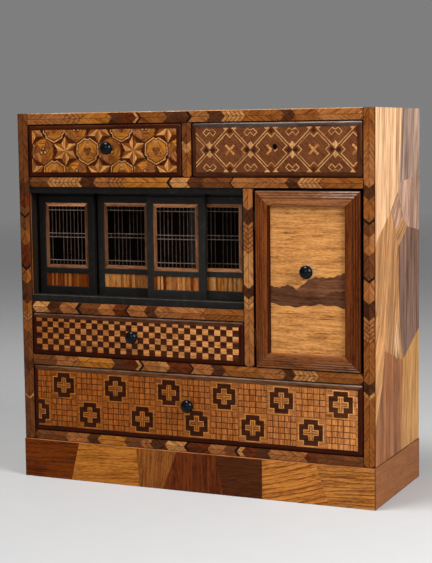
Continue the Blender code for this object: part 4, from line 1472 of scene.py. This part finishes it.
def saltire_arms(length, half_width, kept):
    """The arms of a diagonal cross, numbered from the upper right anticlockwise."""
    arms = []
    for number in kept:
        turn = math.radians(EIGHTH + QUARTER * number)
        along = (math.cos(turn), math.sin(turn))
        across = (-along[1] * half_width, along[0] * half_width)
        end = (along[0] * length, along[1] * length)
        arms.append(
            (
                (-across[0], -across[1]),
                (end[0] - across[0], end[1] - across[1]),
                (end[0] + across[0], end[1] + across[1]),
                across,
            )
        )
    return arms


def diamond_motif(half_width, half_height, hole=None):
    """A large diamond with a diagonal cross; with a hole, the open peg hole is left in it."""
    mosaic = Mosaic()
    field = diamond_outline(*CENTRE, half_width, half_height)
    arms = WHOLE_SALTIRE
    if hole:
        x, y, radius = hole
        arms = WORN_SALTIRE
        field = keyhole(field, ring(radius, PEG_HOLE_SIDES, 0.0, (x, y)))
        mosaic.lay([(x + right, y + up) for right, up in PEG_PALE_PATCH], "straw", SIXTH / 2, level=2)
    mosaic.lay(field, "nutmeg", -EIGHTH)
    corner = half_width - LINE_INSET * math.sqrt(2.0) - NOTCH
    deep = corner - NOTCH
    loop = []
    for across, up in ((1.0, 0.0), (0.0, 1.0), (-1.0, 0.0), (0.0, -1.0)):
        for out, aside in ((corner, -NOTCH), (deep, 0.0), (corner, NOTCH)):
            loop.append((across * out - up * aside, up * out + across * aside))
    mosaic.line((*loop, loop[0]), DIAMOND_LINE, "pale", 1)
    for way in (1.0, -1.0):
        edge = way * half_height
        away, *halves = EDGE_DIAMOND
        mosaic.lay(diamond_outline(0.0, edge - way * away, *halves), "russet", level=2, shade=0.8)
        for aside in (1.0, -1.0):
            triangle = [(aside * x, edge - way * y) for x, y in EDGE_TRIANGLE]
            mosaic.lay(triangle, "pale", level=2, shade=0.9)
    for arm in saltire_arms(*SALTIRE_ARM, arms):
        mosaic.lay(arm, "straw", EIGHTH, level=2, shade=1.05)
    return mosaic


def keyhole(outline, hole):
    """One outline round a shape and, by a slit, round a hole in it."""
    outer = anticlockwise(outline)
    inner = list(reversed(anticlockwise(hole)))
    start = min(range(len(inner)), key=lambda number: math.dist(inner[number], outer[0]))
    inner = inner[start:] + inner[:start]
    return [*outer, outer[0], *inner, inner[0]]


class CABINET_OT_diamond_field(bpy.types.Operator):
    """Lay the diamonds of the upper right drawer, with its open peg hole"""

    bl_idname = "cabinet.diamond_field"
    bl_label = "Diamond field"

    def execute(self, context):
        low, high, _ = field_of("diamond_drawer")
        period = in_mm(sizes().diamond_period)
        half = (period / 2, (high[1] - low[1]) / 2)
        middle = (low[1] + high[1]) / 2
        first = low[0] + DIAMOND_START
        worn = first + period + period / 2
        front_low, front_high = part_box("diamond_drawer_front")
        rise = in_mm(front_high.z - front_low.z) * PEG_RISE_SHARE
        hole = ((low[0] + high[0]) / 2 - worn, rise, PEG_HOLE_RADIUS)
        step = (period, period)
        lattices = (
            (crossing_motif(*half), CROSSINGS, 1, step, 0.0, (first, middle)),
            (diamond_motif(*half), 2, 1, step, 0.0, (first - period / 2, middle)),
            (diamond_motif(*half, hole), 1, 1, step, 0.0, (worn, middle)),
            (diamond_motif(*half), 2, 1, step, 0.0, (worn + period, middle)),
        )
        lay_field("diamond_drawer", lattices)
        return {"FINISHED"}


class CABINET_OT_checker_field(bpy.types.Operator):
    """Lay the checker squares of the middle drawer"""

    bl_idname = "cabinet.checker_field"
    bl_label = "Checker field"

    def execute(self, context):
        low, _, _ = field_of("checker_drawer")
        wide = in_mm(sizes().square_width)
        tall = in_mm(sizes().square_height)
        mosaic = Mosaic()
        mosaic.lay(box_outline(0.0, 2 * wide, 0.0, 2 * tall), "plum")
        for column, row in ((1, 0), (0, 1)):
            outline = square_outline(column * wide, row * tall, wide, tall, CHECKER_GAP)
            mosaic.lay(outline, "straw", level=1, shade=1.2)
        period = (2 * wide, 2 * tall)
        lattices = ((mosaic, CHECKER_COLUMNS, CHECKER_ROWS, period, 0.0, low),)
        lay_field("checker_drawer", lattices, CHECKER_LIGHTING)
        return {"FINISHED"}


def stepped_outline(half_width, half_height, step):
    """A rectangle with a square step cut out of each corner."""
    quarter = (
        (half_width, half_height - step),
        (half_width - step, half_height - step),
        (half_width - step, half_height),
    )
    points = list(quarter)
    points += [(-x, y) for x, y in reversed(quarter)]
    points += [(-x, -y) for x, y in quarter]
    points += [(x, -y) for x, y in reversed(quarter)]
    return points


def medallion_motif(half_width, half_height):
    """A dark stepped medallion with a light cross, on its cell."""
    mosaic = Mosaic()
    mosaic.lay(box_outline(-half_width, half_width, -half_height, half_height), "tan")
    for level, (wood, shade, *sides) in enumerate(MEDALLION_LAYERS, 1):
        mosaic.lay(stepped_outline(*sides), wood, 0.0, level, shade)
    return mosaic


def grid_motif(half_width, half_height):
    """A grid of light squares with dark lines between them."""
    mosaic = Mosaic()
    mosaic.lay(box_outline(-half_width, half_width, -half_height, half_height), "plum")
    wide = 2 * half_width / GRID_COUNT
    tall = 2 * half_height / GRID_COUNT
    for column in range(GRID_COUNT):
        for row in range(GRID_COUNT):
            left = -half_width + column * wide
            foot = -half_height + row * tall
            outline = square_outline(left, foot, wide, tall, GRID_GAP)
            mosaic.lay(outline, "tan", QUARTER, level=1, shade=1.30)
    return mosaic


class CABINET_OT_medallion_field(bpy.types.Operator):
    """Lay the medallions and grids of the long drawer"""

    bl_idname = "cabinet.medallion_field"
    bl_label = "Medallion field"

    def execute(self, context):
        low, high, _ = field_of("medallion_drawer")
        cell = in_mm(sizes().medallion_pitch)
        row = (high[1] - low[1]) / 2
        half = (cell / 2, row / 2)
        first = low[0] + MEDALLION_START
        foot = low[1] + row / 2
        period = (2 * cell, row)
        columns, rows = MEDALLION_COLUMNS, MEDALLION_ROWS
        lattices = (
            (medallion_motif(*half), columns, rows, period, cell, (first, foot)),
            (grid_motif(*half), columns + 1, rows, period, cell, (first - cell, foot)),
        )
        lay_field("medallion_drawer", lattices, MEDALLION_LIGHTING)
        return {"FINISHED"}


def feather_strip(mosaic, start, along, width, way, pieces):
    """Lay the pieces of a strip: two mirrored halves that meet in points along its middle."""
    half = width / 2
    slope = FEATHER_SLOPE * way
    gap = in_mm(sizes().centre_line) / 2
    run = math.degrees(math.atan2(along[1], along[0]))
    near = 0.0
    for letter, size in re.findall(r"([a-z])([0-9.]+)", pieces):
        for wood, length in feather_pieces(letter, float(size)):
            far = near + length
            # The second half of each feather is the same wood in painted shade
            for side, shade in ((1.0, 1.0), (-1.0, FEATHER_SHADE)):
                points = []
                for reach, out in ((near, gap), (far, gap), (far, half), (near, half)):
                    reach -= slope * out
                    out *= side
                    x = start[0] + along[0] * reach - along[1] * out
                    y = start[1] + along[1] * reach + along[0] * out
                    points.append((x, y))
                mosaic.lay(points, wood, run + side * way * FEATHER_GRAIN, shade=shade)
            near = far


def feather_pieces(letter, length):
    """One plain piece, or the light pieces and dark lines of a fine stretch, with their lengths."""
    if letter in LETTERS:
        return [(LETTERS[letter], length)]
    light, dark = FINE_PAIRS[letter]
    count = max(1, round(length / FINE_PITCH))
    return [(light, length / count - FINE_LINE), (dark, FINE_LINE)] * count


class CABINET_OT_feather_strips(bpy.types.Operator):
    """Lay the feather strips on the front edges of the case"""

    bl_idname = "cabinet.feather_strips"
    bl_label = "Feather strips"

    def execute(self, context):
        whole = bmesh.new()
        for strips, upright in ((RAILS, False), (STILES, True)):
            for node, way, pieces in strips:
                self.lay_strip(whole, node, way, pieces, upright)
        merge(whole, worn_lit_edge("top_lipping", "pale"))
        add_veneer("feather_strips", whole, FRONT, "case")
        paint_nodes(board_material("top lipping wood", woods().brown, X), "top_lipping")
        return {"FINISHED"}

    def lay_strip(self, whole, node, way, pieces, upright):
        """Lay one strip on the front of a node."""
        low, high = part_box(node)
        edge = sizes().edge
        worn = sizes().arris if node == "top_lipping" else edge
        left, right = in_mm(low.x + edge), in_mm(high.x - edge)
        foot, top = in_mm(low.z + edge), in_mm(high.z - worn)
        mosaic = Mosaic()
        if upright:
            start = ((left + right) / 2, top)
            feather_strip(mosaic, start, (0.0, -1.0), right - left, way, pieces)
        else:
            start = (left, (foot + top) / 2)
            feather_strip(mosaic, start, (1.0, 0.0), top - foot, way, pieces)
        shape = mosaic.shape(FRONT, (0.0, low.y, 0.0), sizes().veneer)
        trim(shape, FRONT, (left, foot), (right, top))
        merge(whole, shape)
        name, axis = ("stile ground", Z) if upright else ("rail ground", X)
        paint_nodes(board_material(name, woods().plum, axis), node)


def lay_side(name, plane, node, lipping, turned):
    """Cover a side with random parquetry; turned, its layout is upside down and back to front."""
    low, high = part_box(node)
    front, back = in_mm(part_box(lipping)[0].y), in_mm(high.y)
    foot, top = in_mm(low.z), in_mm(high.z)
    way = plane[0].y
    mosaic = Mosaic()
    for level, pieces in enumerate((SIDE_PIECES, SIDE_PATCHES)):
        for wood, grain, corners in pieces:
            points = []
            for y, z in corners:
                if turned:
                    y, z = front + back - y, foot + top - z
                points.append((way * y, z))
            mosaic.lay(points, wood, grain * way, level)
            if level:
                mosaic.line((*points, points[0]), PATCH_LINE, "mauve", level + 1)
    # Dark strips along the side's front edge and foot; the one along the foot is painted shadow where the
    # side meets the plinth
    for ends, heights in (((front, front + SEAM_AND_SHADOW_LINE), (foot, top)), ((front, back), (foot, foot + SEAM_AND_SHADOW_LINE))):
        left, right = sorted(way * y for y in ends)
        mosaic.lay(box_outline(left, right, *heights), "plum", QUARTER, level=3)
    surface = high.x if plane[2].x > 0 else low.x
    shape = mosaic.shape(plane, (surface, 0.0, 0.0), sizes().veneer)
    left, right = sorted((way * front, way * back))
    trim(shape, plane, (left, foot), (right, top))
    add_veneer(name, shape, plane, "case", worn=True)


def slanted_pieces(pieces, left, near, far):
    """A board of pieces with slanted joints, as a mosaic."""
    mosaic = Mosaic()
    before = (left, left)
    for wood, grain, near_end, far_end in pieces:
        corners = ((before[0], near), (near_end, near), (far_end, far), (before[1], far))
        mosaic.lay(corners, wood, grain)
        before = (near_end, far_end)
    return mosaic


class CABINET_OT_case_veneer(bpy.types.Operator):
    """Lay the parquetry of the sides, the top and the plinth, and finish the boards"""

    bl_idname = "cabinet.case_veneer"
    bl_label = "Case veneer"

    def execute(self, context):
        lay_side("right_side_parquetry", RIGHT, "right_side", "right_lipping", False)
        lay_side("left_side_parquetry", LEFT, "left_side", "left_lipping", True)
        self.lay_plinth()
        self.lay_top()
        paint_nodes(faced_material("side board", woods().amber, X), "left_side", "right_side")
        # Shelves, bottom and partition inside the case are painted dark as shade
        shelf = board_material("stained shelf", woods().stain, X, roughness=0.45)
        paint_nodes(shelf, "upper_shelf", "middle_shelf", "lower_shelf", "bottom_board")
        partition = board_material("stained partition", woods().stain, Z, roughness=0.45)
        paint_nodes(partition, "lower_partition")
        paint_nodes(faced_material("back panel wood", woods().bare, Y), "back_panel")
        plinth = board_material("plinth wood", woods().plinth, Y, rings=PLINTH_RINGS, contrast=0.6)
        paint_nodes(plinth, "plinth_left", "plinth_right", "plinth_front")
        return {"FINISHED"}

    def lay_plinth(self):
        """Lay the pieces on the plinth's front."""
        low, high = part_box("plinth_front")
        edge = in_mm(sizes().edge)
        left, right = in_mm(low.x) + edge, in_mm(high.x) - edge
        foot, top = in_mm(low.z) + edge, in_mm(high.z - sizes().arris)
        mosaic = slanted_pieces(PLINTH_PIECES, left - BOARD_OVERRUN, foot, top)
        mosaic.lay(box_outline(right - SEAM_AND_SHADOW_LINE, right, foot, top), "plum", QUARTER, level=1)
        shape = mosaic.shape(FRONT, (0.0, low.y, 0.0), sizes().veneer)
        trim(shape, FRONT, (left, foot), (right, top))
        merge(shape, worn_lit_edge("plinth_front", "tan"))
        add_veneer("plinth_parquetry", shape, FRONT, "case")

    def lay_top(self):
        """Make the top board as a core with parquetry flush with its top."""
        low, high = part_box("top_board")
        thickness = sizes().veneer
        core_top = high.z - thickness - EDGE_MARGIN * MM
        left, right = in_mm(low.x), in_mm(high.x)
        near, far = in_mm(low.y), in_mm(high.y)
        mosaic = slanted_pieces(TOP_PIECES, left - BOARD_OVERRUN, near, far)
        shape = mosaic.shape(UPWARD, (0.0, 0.0, core_top), thickness)
        trim(shape, UPWARD, (left, near), (right, far))
        colours = shape.loops.layers.float_color[WOOD]
        core = bmesh.ops.create_cube(shape, size=1.0)["verts"]
        bmesh.ops.scale(shape, vec=(high.x - low.x, high.y - low.y, core_top - low.z), verts=core)
        middle = ((low.x + high.x) / 2, (low.y + high.y) / 2, (low.z + core_top) / 2)
        bmesh.ops.translate(shape, vec=middle, verts=core)
        grain_map = shape.loops.layers.uv[GRAIN]
        for face in {face for vert in core for face in vert.link_faces}:
            for loop in face.loops:
                # The core of the top board takes the painted shade colour of the inside
                loop[colours] = (*woods().stain, PLAIN_RINGS[0])
                loop[grain_map].uv = (in_mm(loop.vert.co.x), in_mm(loop.vert.co.y + loop.vert.co.z))
        add_veneer("top_parquetry", shape, UPWARD, "case", ("top_board",))


class CABINET_OT_drawer_boxes(bpy.types.Operator):
    """Finish the borders of the drawer fronts, and the trays behind them"""

    bl_idname = "cabinet.drawer_boxes"
    bl_label = "Drawer boxes"

    def execute(self, context):
        for drawer in DRAWERS:
            paint_nodes(border_material(drawer), f"{drawer}_front")
            for part, axis in (("tray", Y), ("bottom", X)):
                name = f"drawer {part} wood"
                finish = board_material(name, woods().bare, axis, roughness=0.5, contrast=0.5)
                paint_nodes(finish, f"{drawer}_{part}")
        return {"FINISHED"}


class CABINET_OT_sliding_doors(bpy.types.Operator):
    """Finish the sliding doors and lay the stripes of their waist panels"""

    bl_idname = "cabinet.sliding_doors"
    bl_label = "Sliding doors"

    def execute(self, context):
        for node, shade in LACQUER_SHADES.items():
            paint_nodes(lacquer_material(node, shade), node)
        chance = random.Random(SEED)
        for slider in SLIDERS:
            self.hang_grille(slider)
            panel = f"{slider}_waist_panel"
            paint_nodes(board_material("waist ground", woods().russet, Z), panel)
            self.lay_stripes(slider, panel, chance)
        return {"FINISHED"}

    def hang_grille(self, slider):
        """Copy a lattice, with its cross bars moved along the slats to where they are seen."""
        node = f"{slider}_lattice"
        low, high = box_mm(node)
        clear = high.z - low.z - 2 * LATTICE_FRAME
        shape = bmesh.new()
        shape.from_mesh(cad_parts[node].data)
        bmesh.ops.remove_doubles(shape, verts=shape.verts, dist=WELD)
        for vert in shape.verts:
            share = (high.z - LATTICE_FRAME - in_mm(vert.co.z)) / clear
            for solid, seen in zip(SOLID_BARS, BAR_PLACES):
                if abs(share - solid) * clear < BAR_REACH:
                    vert.co.z += (solid - seen) * clear * MM
        name = f"{slider}_grille"
        mesh = mesh_from(shape, name, FRONT, lattice_material(slider))
        add_piece(name, mesh, slider, (node,))

    def lay_stripes(self, slider, panel, chance):
        """Lay upright stripes of many woods on one waist panel."""
        low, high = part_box(panel)
        right = in_mm(high.x)
        foot, top = in_mm(low.z), in_mm(high.z)
        mosaic = Mosaic()
        start = in_mm(low.x)
        while start < right:
            wood = chance.choice(WAIST_WOODS[slider])
            end = min(start + chance.uniform(*STRIPE_WIDTHS), right)
            mosaic.lay(box_outline(start, end, foot, top), wood, QUARTER)
            start = end
        shape = mosaic.shape(FRONT, (0.0, low.y, 0.0), sizes().veneer)
        add_veneer(f"{slider}_stripes", shape, FRONT, slider)


class CABINET_OT_hinged_door(bpy.types.Operator):
    """Finish the hinged door and lay its picture of hills over still water"""

    bl_idname = "cabinet.hinged_door"
    bl_label = "Hinged door"

    def execute(self, context):
        for side, *finish in MOULDINGS:
            paint_nodes(moulding_material(side, *finish), f"door_{side}_moulding")
        panel = board_material(
            "door panel wood",
            woods().panel,
            X,
            roughness=0.36,
            rings=PANEL_RINGS,
            contrast=0.8,
        )
        paint_nodes(panel, "door_panel")
        self.lay_picture()
        return {"FINISHED"}

    def lay_picture(self):
        """Lay two hills, their shore, thin clouds and ripples, a painted shadow by the left moulding, and
        a pale ring round the knob.
        """
        low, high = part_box("door_panel")
        left, right = in_mm(low.x) + PANEL_COVER, in_mm(high.x) - PANEL_COVER
        foot, top = in_mm(low.z), in_mm(high.z)
        far, near, shore = [self.wavy(left, right, foot, *line) for line in (FAR_HILLS, NEAR_HILLS, SHORE)]
        mosaic = Mosaic()
        mosaic.lay((*far, *reversed(shore)), "umber", grain=3.0, shade=1.05)
        mosaic.lay((*near, *reversed(shore)), "umber", grain=-3.0, level=1, shade=0.72)
        # Painted shadow: a dark strip along the left edge, beside the left moulding's shaded return
        moulding_shadow = box_outline(left, left + SEAM_AND_SHADOW_LINE, foot + PANEL_COVER, top - PANEL_COVER)
        mosaic.lay(moulding_shadow, "plum", QUARTER, level=2)
        for wood, x, z, length, half in PICTURE_STREAKS:
            middle = (left + x + length / 2, foot + z)
            mosaic.lay(diamond_outline(*middle, length / 2, half), wood, level=1)
        peg = [in_mm(sum(ends) / 2) for ends in zip(*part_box("door_knob"))]
        mosaic.lay(ring(PEG_RING, PEG_RING_SIDES, 0.0, (peg[X], peg[Z])), "pale", level=2)
        shape = mosaic.shape(FRONT, (0.0, low.y, 0.0), sizes().picture_veneer)
        add_veneer("door_picture", shape, FRONT, "door")

    def wavy(self, left, right, foot, height, waves):
        """A wavy line from left to right; each wave has a size, a rate and a start."""
        points = []
        for number in range(WAVE_STEPS + 1):
            x = left + (right - left) * number / WAVE_STEPS
            rise = sum(size * math.sin(rate * (x - left) + start) for size, rate, start in waves)
            points.append((x, foot + height + rise))
        return points


def knob_outline(ball):
    """Half the section of a turned knob: its radius and height over its seat, in millimetres."""
    points = [(0.0, KNOB_LENGTH)]
    dome = (KNOB_LENGTH - KNOB_NECK) / 2
    for row in range(1, KNOB_ROWS + 1):
        angle = math.radians(QUARTER - row * KNOB_ROW_TURN)
        points.append((ball * math.cos(angle), KNOB_NECK + dome + dome * math.sin(angle)))
    return [*points, *KNOB_FOOT]


class CABINET_OT_knobs(bpy.types.Operator):
    """Turn the knobs"""

    bl_idname = "cabinet.knobs"
    bl_label = "Knobs"

    def execute(self, context):
        finish = knob_material()
        for body in KNOBBED:
            node = f"{body}_knob"
            low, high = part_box(node)
            seat_y = low.y + KNOB_LENGTH * MM
            axis = Vector(((low.x + high.x) / 2, seat_y, (low.z + high.z) / 2))
            shape = bmesh.new()
            verts = []
            for radius, height in knob_outline(in_mm(high.x - low.x) / 2):
                verts.append(shape.verts.new(axis + Vector((radius, -height, 0.0)) * MM))
            verts.append(shape.verts.new(axis))
            edges = [shape.edges.new(pair) for pair in zip(verts, verts[1:])]
            bmesh.ops.spin(
                shape,
                geom=verts + edges,
                cent=axis,
                axis=(0.0, 1.0, 0.0),
                angle=2.0 * math.pi,
                steps=KNOB_SIDES,
            )
            bmesh.ops.remove_doubles(shape, verts=shape.verts, dist=WELD)
            bmesh.ops.recalc_face_normals(shape, faces=shape.faces)
            for face in shape.faces:
                face.smooth = True
            mesh = bpy.data.meshes.new(f"{node}_turned")
            shape.to_mesh(mesh)
            shape.free()
            mesh.materials.append(finish)
            add_piece(f"{node}_turned", mesh, body, (node,))
        return {"FINISHED"}


class CABINET_OT_hinges(bpy.types.Operator):
    """Finish the butt hinges"""

    bl_idname = "cabinet.hinges"
    bl_label = "Hinges"

    def execute(self, context):
        brass = brass_material()
        for hinge in ("upper_hinge", "lower_hinge"):
            paint_nodes(brass, f"{hinge}_case_leaf", f"{hinge}_door_leaf")
        return {"FINISHED"}


class CABINET_OT_stage(bpy.types.Operator):
    """Set the camera, the floor and the lamps"""

    bl_idname = "cabinet.stage"
    bl_label = "Stage"

    def execute(self, context):
        scene = context.scene
        settings = scene.cabinet_stage
        scene.view_settings.view_transform = "Standard"
        camera = bpy.data.cameras.new("camera")
        camera.lens = settings.lens
        camera.sensor_width = SENSOR_WIDTH
        camera.sensor_fit = "AUTO"
        holder = bpy.data.objects.new("camera", camera)
        holder.location = settings.camera_place
        holder.rotation_euler = settings.camera_turn
        scene.collection.objects.link(holder)
        scene.camera = holder
        self.add_floor(settings)
        for name, place, size in LAMPS:
            self.add_lamp(name, place, getattr(settings, f"{name}_power"), size)
        world = bpy.data.worlds.new("studio")
        world.use_nodes = True
        world.node_tree.nodes["Background"].inputs["Color"].default_value = (*settings.backdrop, 1.0)
        scene.world = world
        return {"FINISHED"}

    def add_floor(self, settings):
        """A round pale floor that fades into the backdrop."""
        shape = bmesh.new()
        bmesh.ops.create_circle(shape, cap_ends=True, segments=FLOOR_SIDES, radius=FLOOR_RADIUS)
        mesh = bpy.data.meshes.new("floor")
        shape.to_mesh(mesh)
        shape.free()
        shading = Shading("pale floor")
        place = shading.node("ShaderNodeTexCoord", output="Object")
        x, y, _ = shading.split(place)
        rate, detail = FLOOR_MOTTLE
        mottle = shading.noise(x * rate, y * rate, 0.0, detail)
        far = shading.vector_maths("LENGTH", place, (0.0, 0.0, 0.0), output="Value")
        fade = shading.maths("DIVIDE", far - FADE_START, FADE_LENGTH, clamp=True)
        light = shading.between(*FLOOR_LIGHT, mottle)
        shading.surface(
            Base_Color=shading.vector_maths("SCALE", settings.floor, light),
            Roughness=0.7,
            Specular_IOR_Level=0.2,
            Alpha=1.0 - fade,
        )
        mesh.materials.append(shading.material)
        floor = bpy.data.objects.new("floor", mesh)
        bpy.context.scene.collection.objects.link(floor)

    def add_lamp(self, name, place, power, size):
        """A square soft lamp aimed at the cabinet."""
        lamp = bpy.data.lights.new(name, "AREA")
        lamp.energy = power
        lamp.size = size
        holder = bpy.data.objects.new(name, lamp)
        holder.location = place
        holder.rotation_euler = (LAMP_TARGET - Vector(place)).to_track_quat("-Z", "Y").to_euler()
        bpy.context.scene.collection.objects.link(holder)


OPERATORS = (
    CABINET_OT_stage,
    CABINET_OT_case_veneer,
    CABINET_OT_feather_strips,
    CABINET_OT_drawer_boxes,
    CABINET_OT_star_field,
    CABINET_OT_diamond_field,
    CABINET_OT_checker_field,
    CABINET_OT_medallion_field,
    CABINET_OT_sliding_doors,
    CABINET_OT_hinged_door,
    CABINET_OT_knobs,
    CABINET_OT_hinges,
)
GROUPS = {
    "cabinet_woods": CabinetWoods,
    "cabinet_sizes": CabinetSizes,
    "cabinet_stage": CabinetStage,
}


class CABINET_PT_sidebar(bpy.types.Panel):
    """The cabinet's sizes, colours and steps"""

    bl_idname = "CABINET_PT_sidebar"
    bl_label = "Marquetry cabinet"
    bl_space_type = "VIEW_3D"
    bl_region_type = "UI"
    bl_category = "Cabinet"

    def draw(self, context):
        for group, kind in GROUPS.items():
            box = self.layout.box()
            for name in kind.__annotations__:
                box.prop(getattr(context.scene, group), name)
        for operator in OPERATORS:
            self.layout.operator(operator.bl_idname)


def register():
    """Register the classes and hang the settings on the scene."""
    for kind in (*GROUPS.values(), *OPERATORS, CABINET_PT_sidebar):
        bpy.utils.register_class(kind)
    for group, kind in GROUPS.items():
        setattr(bpy.types.Scene, group, bpy.props.PointerProperty(type=kind))


def unregister():
    """Take the settings and the classes away again."""
    for group in GROUPS:
        delattr(bpy.types.Scene, group)
    for kind in reversed((*GROUPS.values(), *OPERATORS, CABINET_PT_sidebar)):
        bpy.utils.unregister_class(kind)


def main():
    """Dress the cabinet, step by step."""
    register()
    bpy.ops.cabinet.stage()
    bpy.ops.cabinet.case_veneer()
    bpy.ops.cabinet.feather_strips()
    bpy.ops.cabinet.drawer_boxes()
    bpy.ops.cabinet.star_field()
    bpy.ops.cabinet.diamond_field()
    bpy.ops.cabinet.checker_field()
    bpy.ops.cabinet.medallion_field()
    bpy.ops.cabinet.sliding_doors()
    bpy.ops.cabinet.hinged_door()
    bpy.ops.cabinet.knobs()
    bpy.ops.cabinet.hinges()


if __name__ == "__main__":
    main()
